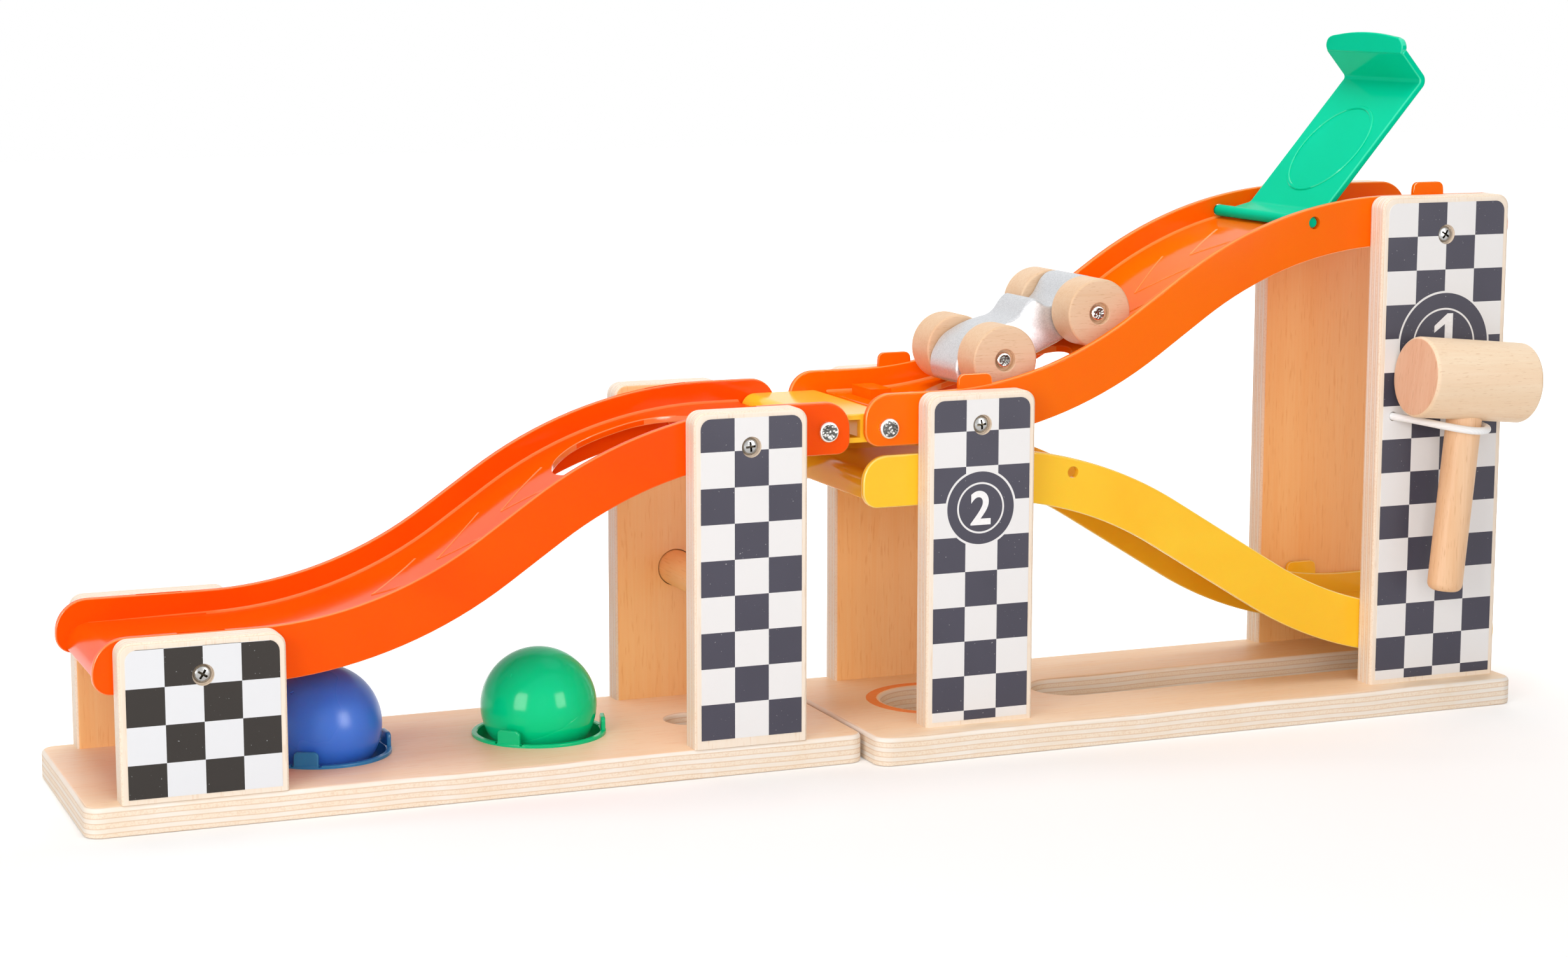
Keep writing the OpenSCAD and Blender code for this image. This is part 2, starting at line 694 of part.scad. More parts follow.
// Side outline of the car's body along its axle line: nose, cockpit and tail
function body_line() = let (k = car_base / 43.8) [for (q = [[-36, -5.5], [-36.5, -1.5], [-35.5, 1.5],
    [-33.8, 4], [-31, 6.4], [-27, 8.6], [-22, 9.5], [-16, 9.7], [-10, 9], [-6, 8.5], [-3, 9.2], [0, 11],
    [3, 12.4], [5, 12.4], [7, 10.2], [9, 7.8], [12, 6.8], [15, 7.6], [18, 9.8], [21.5, 12.2], [25, 12.9],
    [28.5, 11.8], [32, 9.2], [34.5, 5.8], [35.5, 1.5], [35, -3], [33, -5.5]]) [q[0] * k, q[1]]];

module car_body() {
    color("silver") on_track() difference() {
        prism(0, body_w) polygon(body_line());
        for (s = [-1, 1]) rod(s * car_base / 2, 0, 0, pin_d / 2 + seat, body_w + 2);
    }
}

// An axle with domed caps in the wheel hubs
module axle(s) {
    l = car_w / 2 - hub_t + 0.3;
    color("gainsboro") on_track() {
        rod(s * car_base / 2, 0, 0, pin_d / 2, 2 * l);
        for (e = [-1, 1]) translate([s * car_base / 2, e * l, 0]) rotate([e * -90, 0, 0]) dome(cap_r, 2);
    }
}

module axle_low() { axle(-1); }
module axle_high() { axle(1); }

// A wooden wheel; e is -1 on the front and 1 on the back
module wheel(s, e) {
    r = wheel_d / 2;
    b = 1.5;
    color("wheat") on_track() translate([s * car_base / 2, e * (car_w / 2 - wheel_t), 0]) rotate([e * -90, 0, 0])
        difference() {
            rotate_extrude() polygon(concat([[0, 0]], arc(r - b, b, b, -90, 0),
                arc(r - b, wheel_t - b, b, 0, 90), [[0, wheel_t]]));
            translate([0, 0, -1]) cylinder(r = pin_d / 2 + fit, h = wheel_t + 2);
            translate([0, 0, wheel_t - hub_t]) cylinder(r = hub_r, h = hub_t + 1);
        }
}

module wheel_low_front() { wheel(-1, -1); }
module wheel_low_back() { wheel(-1, 1); }
module wheel_high_front() { wheel(1, -1); }
module wheel_high_back() { wheel(1, 1); }

right_base();
post2_front();
post2_back();
tower_front();
tower_back();
upper_track();
lower_track();
post2_label();
tower_label();
screws_right();
foot_screws_right();
hammer_loop();
hinge_pin_right();
left_base();
short_front();
short_back();
tall_front();
tall_back();
left_track();
cross_dowel();
ring_blue();
ring_green();
short_label();
tall_label();
screws_left();
foot_screws_left();
hinge_pin_left();
link();
ball_blue();
ball_green();
flap();
hammer_head();
hammer_handle();
car_body();
axle_low();
axle_high();
wheel_low_front();
wheel_low_back();
wheel_high_front();
wheel_high_back();
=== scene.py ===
# %% [markdown]
# # A ball pounding toy
# Two plywood frames carry plastic tracks and fold together on a yellow link. Balls sit in the left
# base, a small car stands on the right track and a hammer hangs on the tower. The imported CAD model
# gives every size and place, so this lesson is about making each piece look like the real one.

# %% Load the frame
import math
import bmesh
import bpy
from mathutils import Matrix, Vector


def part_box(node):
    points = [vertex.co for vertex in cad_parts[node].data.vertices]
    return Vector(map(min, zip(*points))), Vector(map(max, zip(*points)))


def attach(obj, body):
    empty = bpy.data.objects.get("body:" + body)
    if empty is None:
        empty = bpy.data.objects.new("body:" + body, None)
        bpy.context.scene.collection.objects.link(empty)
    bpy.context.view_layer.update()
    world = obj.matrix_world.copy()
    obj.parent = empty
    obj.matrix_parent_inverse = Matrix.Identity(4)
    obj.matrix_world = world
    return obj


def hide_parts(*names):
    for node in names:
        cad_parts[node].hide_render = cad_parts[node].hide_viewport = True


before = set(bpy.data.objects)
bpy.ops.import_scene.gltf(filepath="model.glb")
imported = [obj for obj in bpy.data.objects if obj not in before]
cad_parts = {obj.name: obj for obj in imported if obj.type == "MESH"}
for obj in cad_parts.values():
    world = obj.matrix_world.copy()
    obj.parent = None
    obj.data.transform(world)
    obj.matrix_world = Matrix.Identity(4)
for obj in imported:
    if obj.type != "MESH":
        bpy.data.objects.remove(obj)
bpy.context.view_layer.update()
scene = bpy.context.scene
scene.view_settings.view_transform = "Standard"

# %% [markdown]
# The toy was measured in millimetres from the middle of its folding link, and the part's origin lies
# below the right hinge pin. One helper turns the first kind of point into the second, so the numbers
# below can be read with a ruler in hand. Sizes that several pieces share get a name here.

# %% Places on the toy
MM = 0.001
PIN_X, PIN_Z = 12.4, 125.9
POST_X, TOWER_X = 47, 251.5
FACE_Y, WALL_Y = 49, 37.5
BASE_TOP = 11
BALL_X = {"blue": -198, "green": -114.4}


def at(x, y, z):
    """A point in millimetres from the middle of the link, in the part's frame in metres."""
    return Vector((x - PIN_X, y, z)) * MM


print("the link's middle is at", [round(c, 4) for c in at(0, 0, 0)])

# %% [markdown]
# The camera stands to the left of the toy, a little above it, with a short telephoto lens. A camera
# could be set by eye, but here its place was worked out from the corners of the printed squares.

# %% Camera
def aim(turn, tilt, roll):
    """Camera rotation for a heading from +Y, an angle above the horizon and a roll, in degrees."""
    turn, tilt, roll = (math.radians(a) for a in (turn, tilt, roll))
    ahead = Vector((math.sin(turn) * math.cos(tilt), math.cos(turn) * math.cos(tilt), math.sin(tilt)))
    level = Vector((math.cos(turn), -math.sin(turn), 0))
    right = level * math.cos(roll) + level.cross(ahead) * math.sin(roll)
    return Matrix((right, right.cross(ahead), -ahead)).transposed()


bpy.ops.object.camera_add(location=(-0.4826, -1.1149, 0.2948), rotation=aim(22.25, -9.07, 0.05).to_euler())
camera = bpy.context.object
camera.data.lens = 72.47
camera.data.sensor_width = 36
scene.camera = camera
print("camera stands at", [round(c, 3) for c in camera.location], "with a lens of", camera.data.lens)

# %% [markdown]
# Every operator works on what is selected, and the loaded frame is still selected. So one helper
# leaves a single piece selected, and another goes into edit mode and selects the faces, edges or
# points that pass a test on their place or direction. The rest of the lesson leans on these two.

# %% Selecting
def alone(*pieces):
    """Object mode with only these pieces selected, the first one active."""
    if bpy.context.object and bpy.context.object.mode != "OBJECT":
        bpy.ops.object.mode_set(mode="OBJECT")
    bpy.ops.object.select_all(action="DESELECT")
    for piece in reversed(pieces):
        piece.select_set(True)
        bpy.context.view_layer.objects.active = piece


def pick(piece, kind, test=lambda part: True):
    """Edit mode with only the FACE, EDGE or VERT parts selected that pass the test; how many."""
    alone(piece)
    bpy.ops.object.mode_set(mode="EDIT")
    bpy.ops.mesh.select_mode(type=kind)
    bpy.ops.mesh.select_all(action="DESELECT")
    mesh = bmesh.from_edit_mesh(piece.data)
    chosen = [p for p in {"FACE": mesh.faces, "EDGE": mesh.edges, "VERT": mesh.verts}[kind] if test(p)]
    for part in chosen:
        part.select_set(True)
    mesh.select_flush_mode()
    bmesh.update_edit_mesh(piece.data)
    return len(chosen)


def runs(edge, axis):
    """True if an edge runs along this axis: 0, 1 or 2 for X, Y or Z."""
    way = edge.verts[1].co - edge.verts[0].co
    return abs(way[axis]) > 0.99 * way.length


def sharp(edge, degrees=50):
    return len(edge.link_faces) == 2 and edge.calc_face_angle(0) > math.radians(degrees)


print("selecting by place and direction is ready")

# %% [markdown]
# In edit mode three steps come back all the time: rounding the selected edges, extruding what is
# selected, and healing a mesh, which merges doubled points and turns the faces outwards.

# %% Shaping
def soften(offset, segments=3):
    """Rounds the selected edges; the size is in millimetres."""
    bpy.ops.mesh.bevel(offset=offset * MM, segments=segments, affect="EDGES", profile=0.5)


def extrude(*way):
    """Extrudes the selection; the way is in metres."""
    bpy.ops.mesh.extrude_region_move(TRANSFORM_OT_translate={"value": way})


def merge(piece, gap=1e-6):
    pick(piece, "VERT")
    bpy.ops.mesh.remove_doubles(threshold=gap)


def heal(piece):
    merge(piece)
    bpy.ops.mesh.normals_make_consistent(inside=False)


print("rounding, extruding and healing are ready")

# %% [markdown]
# Most pieces start as a primitive at its own size and place. Its place goes into the mesh straight
# away, because a finished piece sits at the origin as the CAD nodes do.

# %% Starting a piece
def settle(name):
    """Names the new primitive and puts its place, turn and size into its mesh."""
    piece = bpy.context.object
    piece.name = piece.data.name = name
    bpy.ops.object.transform_apply(location=True, rotation=True, scale=True)
    return piece


def block(name, low, high):
    alone()
    low, high = Vector(low), Vector(high)
    bpy.ops.mesh.primitive_cube_add(size=1, location=(low + high) / 2, scale=high - low)
    return settle(name)


def sheet(name, middle, size, turn=(0, 0, 0)):
    """A flat rectangle, the start of the bent pieces; the two sizes are in millimetres."""
    alone()
    bpy.ops.mesh.primitive_plane_add(size=MM, location=middle, rotation=turn)
    bpy.context.object.scale = (*size, 1)
    return settle(name)


def bar(start, end, radius, sides=48, name="cutter"):
    """A round bar between two points; the radius is in millimetres."""
    alone()
    way = end - start
    bpy.ops.mesh.primitive_cylinder_add(vertices=sides, radius=radius * MM, depth=way.length,
        location=(start + end) / 2, rotation=way.to_track_quat("Z", "Y").to_euler())
    return settle(name)


print("blocks, sheets and bars are ready")

# %% [markdown]
# Holes and joined parts use the Boolean modifier, applied at once, as a maker drills and glues. What
# repeats is copied with a mesh of its own.

# %% Drilling, joining and copying
def modify(piece, kind, **settings):
    alone(piece)
    modifier = piece.modifiers.new(kind.title(), kind)
    for name, value in settings.items():
        setattr(modifier, name, value)
    bpy.ops.object.modifier_apply(modifier=modifier.name)


def join(pieces):
    alone(*pieces)
    if len(pieces) > 1:
        bpy.ops.object.join()
    return pieces[0]


def drill(piece, *cutters):
    """Takes the cutters' shapes out of the piece."""
    tool = join(list(cutters))
    modify(piece, "BOOLEAN", object=tool, operation="DIFFERENCE", solver="EXACT")
    bpy.data.objects.remove(tool)


def fuse(piece, *others):
    """Makes one closed shell of the piece and the others, all at once."""
    bench = bpy.data.collections.new("to_fuse")
    scene.collection.children.link(bench)
    for other in others:
        bench.objects.link(other)
    modify(piece, "BOOLEAN", operand_type="COLLECTION", collection=bench, operation="UNION", solver="EXACT")
    for other in others:
        bpy.data.objects.remove(other)
    bpy.data.collections.remove(bench)
    merge(piece, 0.01 * MM)
    return piece


def copy_of(piece, move):
    """A copy with its own mesh, moved by a matrix."""
    copy = piece.copy()
    copy.data = piece.data.copy()
    copy.data.transform(move)
    scene.collection.objects.link(copy)
    return copy


print("drilling, joining and copying are ready")

# %% [markdown]
# Round pieces such as wheels, pins and rings are turned: half of the outline is drawn point by point
# by extruding a single vertex, then spun once round its axis. Merging the doubles closes the seam
# and the poles. A cylinder with bevels would do for some, but a turned outline gives every radius.

# %% Turning
def turned(name, centre, axis, outline, steps=64):
    """A lathe piece; the outline is pairs of millimetres along the axis and out from it."""
    axis = Vector(axis).normalized()
    out = axis.orthogonal().normalized()
    points = [Vector(centre) + (axis * along + out * radius) * MM for along, radius in outline]
    alone()
    bpy.ops.mesh.primitive_plane_add(size=MM, location=points[0])
    piece = settle(name)
    pick(piece, "VERT")
    bpy.ops.mesh.merge(type="CENTER")
    for here, there in zip(points, points[1:]):
        extrude(*(there - here))
    bpy.ops.mesh.select_all(action="SELECT")
    bpy.ops.mesh.spin(steps=steps, angle=math.tau, center=centre, axis=axis)
    bpy.ops.mesh.select_all(action="SELECT")
    bpy.ops.mesh.remove_doubles(threshold=1e-6)
    bpy.ops.mesh.normals_make_consistent(inside=False)
    return piece


def rounded(along, radius, size, first, last, steps=4):
    """Points of a round corner of an outline: its centre, its size and two angles in degrees."""
    angles = [math.radians(first + (last - first) * i / steps) for i in range(steps + 1)]
    return [(along + size * math.sin(a), radius + size * math.cos(a)) for a in angles]


print("the lathe is ready")

# %% [markdown]
# Some outlines are smooth lines through a few points: the cord, the car's side view, the flap's lip.
# Curves draw them. A flat one gets its width and soft edges on the curve, and is made a mesh before
# it is put in its place.

# %% Drawing lines
def smooth_line(name, points, corners=()):
    """A curve through these points; corners are the numbers of the points that stay sharp."""
    alone()
    bpy.ops.curve.primitive_bezier_curve_add(location=(0, 0, 0))
    shape = bpy.context.object
    shape.name = shape.data.name = name
    line = shape.data.splines[0]
    line.bezier_points.add(len(points) - 2)
    for i, spot in enumerate(points):
        knot = line.bezier_points[i]
        knot.co = spot
        knot.handle_left_type = knot.handle_right_type = "VECTOR" if i in corners else "AUTO"
    return shape


def flat_shape(name, points, half_width, soft, corners=()):
    """A closed outline in its own XY plane, in millimetres, with a width and softened edges."""
    shape = smooth_line(name, [Vector((*p, 0)) * MM for p in points], corners)
    curve = shape.data
    curve.dimensions = "2D"
    curve.splines[0].use_cyclic_u = True
    curve.fill_mode = "BOTH"
    curve.resolution_u = 5
    curve.extrude = (half_width - soft) * MM
    curve.bevel_depth = soft * MM
    curve.offset = -soft * MM
    curve.bevel_resolution = 3
    return shape


def as_mesh(shape):
    alone(shape)
    bpy.ops.object.convert(target="MESH")
    return bpy.context.object


def put(piece, name, move):
    """Moves a new mesh by a matrix, for good."""
    alone(piece)
    piece.matrix_world = move
    return settle(name)


print("smooth lines and flat shapes are ready")

# %% [markdown]
# The hammer's loop is white elastic cord. It comes out of the tower's front post, goes round the
# handle and back into the post, and a knot behind the post holds each end. It could be a mesh tube,
# but a curve keeps its true length, and the points are those of the CAD model's route.

# %% Hammer loop
TOWER_FACE = at(TOWER_X, -FACE_Y, BASE_TOP)
LOOP = [(-22.5, 13, 109.5), (-22.5, 5, 109.5), (-22.5, -1, 109.5), (-20, -6, 109.2), (-15.5, -12.5, 108.4),
    (-10.5, -20, 107.4), (-6, -24.2, 106.6), (-1, -25.9, 105.9), (4, -25, 105.6), (7.8, -21.4, 105.7),
    (9.3, -16, 106), (9.5, -9, 106.6), (9.5, -1, 107), (9.5, 5, 107), (9.5, 13, 107)]
loop_points = [TOWER_FACE + Vector(p) * MM for p in LOOP]


def thread(name, points, radius, sides, steps, closed=False):
    """A round cord along a smooth curve through these points; the radius is in millimetres."""
    cord = smooth_line(name, points)
    cord.data.splines[0].use_cyclic_u = closed
    cord.data.dimensions = "3D"
    cord.data.bevel_depth = radius * MM
    cord.data.bevel_resolution = sides
    cord.data.resolution_u = steps
    cord.data.use_fill_caps = not closed
    return cord


loop = thread("hammer_loop_cord", loop_points, 1.5, 5, 8)
print("loop of", round(loop.data.splines[0].calc_length(), 4), "m")

# %% [markdown]
# A knot is a short piece of the same cord. The trefoil, the simplest knot there is, has a formula,
# so a small closed curve follows it and is made a mesh at each end of the loop.

# %% Loop knots
def knot(name, centre, size=0.58):
    turns = [math.tau * i / 24 for i in range(24)]
    points = [centre + Vector((math.sin(t) + 2 * math.sin(2 * t), -math.sin(3 * t),
        math.cos(t) - 2 * math.cos(2 * t))) * size * MM for t in turns]
    return as_mesh(thread(name, points, 0.8, 3, 4, closed=True))


knots = [knot("loop_knot_high", loop_points[0]), knot("loop_knot_low", loop_points[-1])]
print("knots of", [len(k.data.polygons) for k in knots], "faces")

# %% [markdown]
# Finishes are made from nodes. A recipe adds nodes to one tree: each helper joins a node to others and
# returns its output, so that a finish reads from top to bottom. All patterns use Object coordinates:
# the pieces sit at the origin, so a pattern stays where it is when a body moves.

# %% Recipes for finishes
class Recipe:
    def __init__(self, tree):
        self.tree = tree
        self.shader = tree.nodes.get("Principled BSDF")

    def fill(self, socket, value):
        """Gives a socket another node's output, a colour or a number."""
        if isinstance(value, bpy.types.NodeSocket):
            self.tree.links.new(value, socket)
        else:
            socket.default_value = (*value, 1) if socket.type == "RGBA" else value

    def add(self, kind, inputs, **settings):
        """One node; its inputs are found by name or number."""
        node = self.tree.nodes.new("ShaderNode" + kind)
        for name, value in settings.items():
            setattr(node, name, value)
        for name, value in inputs.items():
            self.fill(node.inputs[name], value)
        return node

    def dress(self, **inputs):
        """Fills the shader's sockets; _ stands for a space in their names."""
        for name, value in inputs.items():
            self.fill(self.shader.inputs[name.replace("_", " ")], value)

    def place(self, scale=(1, 1, 1), shift=(0, 0, 0)):
        """Object coordinates, stretched and moved."""
        spot = self.add("TexCoord", {}).outputs["Object"]
        return self.add("Mapping", {"Vector": spot, "Scale": scale, "Location": shift}).outputs[0]

    def noise(self, scale, detail=3, distortion=0.0):
        """Noise with one scale, or with one for each axis."""
        spot = self.place(scale if isinstance(scale, tuple) else (scale,) * 3)
        return self.add("TexNoise", {"Vector": spot, "Scale": 1.0, "Detail": detail,
            "Distortion": distortion}).outputs["Fac"]

    def cells(self, scale, output):
        return self.add("TexVoronoi", {"Vector": self.place((scale,) * 3), "Scale": 1.0}).outputs[output]

    def far(self, centre, axes):
        """Distance from a point, measured along the axes that are 1."""
        spot = self.add("VectorMath", {0: self.place(), 1: axes}, operation="MULTIPLY").outputs[0]
        return self.add("VectorMath", {0: spot, 1: centre * Vector(axes)},
            operation="DISTANCE").outputs["Value"]

    def sums(self, operation, first, second=0):
        return self.add("Math", {0: first, 1: second}, operation=operation).outputs[0]

    def spread(self, value, low, high, new_low=0, new_high=1):
        """Maps a range of values to another one and stays inside it."""
        return self.add("MapRange", {0: value, 1: low, 2: high, 3: new_low, 4: new_high}).outputs[0]

    def mix(self, part, first, second):
        """Two colours mixed; part is how much of the second one."""
        return self.add("Mix", {0: part, 6: first, 7: second}, data_type="RGBA").outputs[2]

    def bumps(self, height, strength, depth):
        """Fine relief; the depth is in millimetres."""
        relief = self.add("Bump", {"Height": height, "Strength": strength, "Distance": depth * MM})
        self.dress(Normal=relief.outputs[0])


def finish(name):
    """A new material and the recipe for its nodes."""
    material = bpy.data.materials.new(name)
    material.use_nodes = True
    return material, Recipe(material.node_tree)


print("recipes are ready")

# %% [markdown]
# The boards are birch plywood. The broad faces show veneer with fine long grain, pale outside and on
# the bases; the inner faces of the posts get a warm honey copy of it, which is painted shade and
# painted warm bounced light. Grain is a noise that is stretched many times along one axis; a finer
# one gives the fibres, and a wide soft one the slow change of tone across them.

# %% Veneer and solid wood
def wood(name, along, pale, deep, fleck, rough=0.5, band=34, dash=(1500, 120), shine=0.35):
    """Wood with its grain along axis 0, 1 or 2; fleck is the colour of the short dark dashes."""
    material, r = finish(name)
    stretch = lambda across, length: tuple(length if i == along else across for i in range(3))
    bands = r.noise(stretch(band, band * 0.06), 3, 0.8)
    fibre = r.noise(stretch(900, 22), 4, 0.3)
    dashes = r.noise(stretch(*dash), 1)
    tone = r.sums("ADD", r.spread(bands, 0.3, 0.7, 0, 0.7), r.spread(fibre, 0.35, 0.65, 0, 0.3))
    colour = r.mix(r.spread(dashes, 0.62, 0.72, 0, 0.5), r.mix(tone, pale, deep), fleck)
    r.dress(Base_Color=colour, Roughness=r.spread(fibre, 0.3, 0.7, rough - 0.07, rough + 0.08),
        Specular_IOR_Level=shine)
    r.bumps(fibre, 0.25, 0.12)
    return material


# The honey veneer is a warm copy of the pale one for the posts' inner faces: painted shade and painted warm
# bounced light.
honey_painted_shade = wood("honey_veneer_painted_shade", 2, (0.99, 0.63, 0.28), (0.97, 0.53, 0.20), (0.87, 0.43, 0.15), 0.45)
pale_face = wood("pale_post_veneer", 2, (0.91, 0.80, 0.68), (0.87, 0.72, 0.57), (0.78, 0.58, 0.41), 0.45, 30)
pale_top = wood("pale_base_veneer", 0, (0.96, 0.78, 0.59), (0.94, 0.68, 0.44), (0.84, 0.55, 0.33), 0.42, 26,
    shine=0.2)
print("veneers:", honey_painted_shade.name, pale_face.name, pale_top.name)

# %% [markdown]
# On the edges of the boards the plies show: thin layers that are pale along the grain and a little
# darker across it, with a thin brown glue line between them. Distance through the board, made wavy by
# noise, is cut into layers; odd and even layers get their own tone.

# %% Plywood edges
def plies(name, axis, pitch, start, wave):
    """Layers along this axis, pitch millimetres apart, counted from start millimetres."""
    material, r = finish(name)
    depth = r.add("SeparateXYZ", {0: r.place()}).outputs[axis]
    layer = r.sums("DIVIDE", r.sums("SUBTRACT", depth, start * MM), pitch * MM)
    layer = r.sums("ADD", layer, r.spread(r.noise(14, 2), 0.3, 0.7, -wave, wave))
    even = r.sums("LESS_THAN", r.sums("FRACT", r.sums("MULTIPLY", layer, 0.5)), 0.5)
    glue = r.sums("ABSOLUTE", r.sums("SUBTRACT", r.sums("FRACT", layer), 0.5))
    glue = r.spread(glue, 0.34, 0.5, 0, 0.75)
    long_grain, pores = r.noise(60, 4, 0.4), r.noise(1600, 2)
    pale = r.mix(r.spread(long_grain, 0.35, 0.7), (0.90, 0.83, 0.75), (0.88, 0.76, 0.63))
    deep = r.mix(r.spread(pores, 0.45, 0.7), (0.91, 0.74, 0.56), (0.80, 0.56, 0.36))
    colour = r.mix(r.spread(even, 0, 1, 0, 0.6), pale, deep)
    r.dress(Base_Color=r.mix(glue, colour, (0.70, 0.46, 0.27)),
        Roughness=r.spread(pores, 0.3, 0.7, 0.48, 0.66), Specular_IOR_Level=0.3)
    r.bumps(r.sums("ADD", glue, pores), 0.2, 0.1)
    return material


post_plies = plies("post_plies", 1, 88 / 62, -FACE_Y, 0.12)
base_plies = plies("base_plies", 2, BASE_TOP / 6, 0, 0.3)
print("ply edges:", post_plies.name, base_plies.name)

# %% [markdown]
# The tracks, link, rings, flap and balls are moulded plastic. One recipe serves them all: a colour
# that drifts a little, gloss that is never quite even, and a faint relief like orange peel, which
# breaks up the reflections. A plain colour with one roughness would look like computer plastic. The
# rounded rims of a moulding get their own mix, glossier and paler; the paler colour is a painted highlight.

# %% Moulded plastic
def plastic(name, colour, deep, gloss, shine, peel=0.05):
    """A drifting colour; gloss is the roughness and shine the strength of the reflections."""
    material, r = finish(name)
    drift, skin, grit = r.noise(18, 3, 0.5), r.noise(420), r.noise(3000, 1)
    shade = r.mix(r.spread(drift, 0.3, 0.7), colour, deep)
    shade = r.mix(r.spread(grit, 0.7, 0.8, 0, 0.25), shade, deep)
    r.dress(Base_Color=shade, Roughness=r.spread(drift, 0.3, 0.7, gloss - 0.03, gloss + 0.05),
        Specular_IOR_Level=shine, Subsurface_Weight=0.25, Subsurface_Scale=3 * MM)
    r.bumps(skin, peel, 0.15)
    return material


# Each rim mix is a paler copy of its plastic: a painted highlight along the rounded rims.
left_orange = plastic("left_track_orange", (0.98, 0.10, 0.001), (0.96, 0.08, 0.001), 0.1, 0.07)
left_rim_painted_highlight = plastic("left_track_rim_painted_highlight", (1.0, 0.24, 0.06), (1.0, 0.20, 0.04), 0.14, 0.5)
right_orange = plastic("upper_track_orange", (0.98, 0.17, 0.001), (0.96, 0.145, 0.001), 0.1, 0.07)
right_rim_painted_highlight = plastic("upper_track_rim_painted_highlight", (1.0, 0.32, 0.06), (1.0, 0.27, 0.04), 0.14, 0.5)
yellow = plastic("link_and_lower_track_yellow", (1.0, 0.61, 0.035), (1.0, 0.53, 0.022), 0.12, 0.16)
yellow_rim_painted_highlight = plastic("lower_track_rim_painted_highlight", (1.0, 0.76, 0.22), (1.0, 0.70, 0.16), 0.14, 0.5)
mint = plastic("flap_mint", (0.001, 0.61, 0.34), (0.001, 0.56, 0.30), 0.12, 0.01, 0.03)
mint_rim_painted_highlight = plastic("flap_rim_painted_highlight", (0.03, 0.70, 0.42), (0.02, 0.66, 0.38), 0.14, 0.4, 0.03)
ball_blue_skin = plastic("ball_blue_satin", (0.06, 0.22, 0.85), (0.055, 0.20, 0.80), 0.28, 0.3)
ball_green_skin = plastic("ball_green_gloss", (0.001, 0.70, 0.30), (0.001, 0.66, 0.28), 0.1, 0.14)
ring_blue_skin = plastic("ring_blue", (0.04, 0.24, 0.52), (0.035, 0.22, 0.48), 0.2, 0.25)
ring_green_skin = plastic("ring_green", (0.001, 0.60, 0.25), (0.001, 0.56, 0.23), 0.16, 0.22)
print("plastics: 8 colours and 4 rims")

# %% [markdown]
# Beech has no strong figure, only fine straight grain and many short flecks. The wheels, the hammer,
# the dowel and the ends of the hammer's head all differ in the way their grain runs, so each gets
# the same recipe with its own direction; the head's ends are pinker and shorter in the grain.

# %% Beech
beech_wheel = wood("wheel_beech", 0, (0.80, 0.58, 0.39), (0.73, 0.47, 0.28), (0.58, 0.32, 0.16), 0.5, 60,
    (2400, 330))
beech_head = wood("hammer_head_beech", 0, (0.91, 0.73, 0.53), (0.86, 0.62, 0.41), (0.70, 0.44, 0.25), 0.5, 70,
    (2200, 260))
beech_end = wood("hammer_end_grain", 2, (0.81, 0.52, 0.35), (0.75, 0.43, 0.27), (0.60, 0.31, 0.17), 0.6, 150)
beech_handle = wood("handle_beech", 2, (0.86, 0.56, 0.34), (0.78, 0.45, 0.23), (0.64, 0.34, 0.16), 0.5, 70)
beech_dowel = wood("dowel_beech", 1, (0.99, 0.63, 0.28), (0.96, 0.53, 0.20), (0.80, 0.38, 0.13), 0.5, 70)
print("beech in 5 finishes")

# %% [markdown]
# The pins, caps and screws are nickel plated steel. The flat faces of the caps have small dents from
# the press. They get a dark copy of the nickel, a painted dark reflection, and the rims a very bright
# copy, a painted highlight. The car is sprayed silver: a grey with a metallic part, fine flakes and
# faint brush lines.

# %% Nickel and silver paint
def nickel_plate(name, dents, bright, dull):
    material, r = finish(name)
    haze = r.noise(260, 4)
    r.dress(Base_Color=r.mix(r.spread(haze, 0.35, 0.65), bright, dull),
        Roughness=r.spread(haze, 0.3, 0.7, 0.14, 0.34), Metallic=1.0)
    r.bumps(r.cells(900, "Distance"), dents, 0.35)
    return material


def silver_paint(name):
    material, r = finish(name)
    glint = r.add("SeparateColor", {0: r.cells(2600, "Color")}).outputs[0]
    lines = r.noise((60, 700, 900))
    r.dress(Base_Color=r.mix(r.spread(glint, 0, 1), (0.56, 0.57, 0.59), (0.70, 0.71, 0.73)),
        Roughness=r.spread(lines, 0.3, 0.7, 0.36, 0.5), Metallic=0.55)
    r.bumps(lines, 0.18, 0.08)
    return material


# The bright rim copy is a painted highlight; the dark face copy is a painted dark reflection.
cap_rim_painted_highlight = nickel_plate("cap_rim_nickel_painted_highlight", 0.05, (0.93, 0.92, 0.90), (0.86, 0.85, 0.83))
cap_face_painted_reflection = nickel_plate("cap_face_nickel_painted_reflection", 0.6, (0.17, 0.165, 0.155), (0.06, 0.057, 0.053))
screw_nickel = nickel_plate("screw_nickel", 0.12, (0.52, 0.52, 0.51), (0.36, 0.36, 0.35))
# Painted shade: a dark finish for the inside of the cross slots.
screw_slot_painted_shade = nickel_plate("screw_slot_dark_painted_shade", 0.2, (0.06, 0.05, 0.035), (0.03, 0.025, 0.02))
car_silver = silver_paint("car_silver")
print("metals:", cap_rim_painted_highlight.name, cap_face_painted_reflection.name, screw_nickel.name, screw_slot_painted_shade.name, car_silver.name)

# %% [markdown]
# The cord is braided elastic. A wave that runs slanted over the cord gives the ribs of the braid, and
# noise gives the fuzz. It stays nearly white, because a single tint would look like wire.

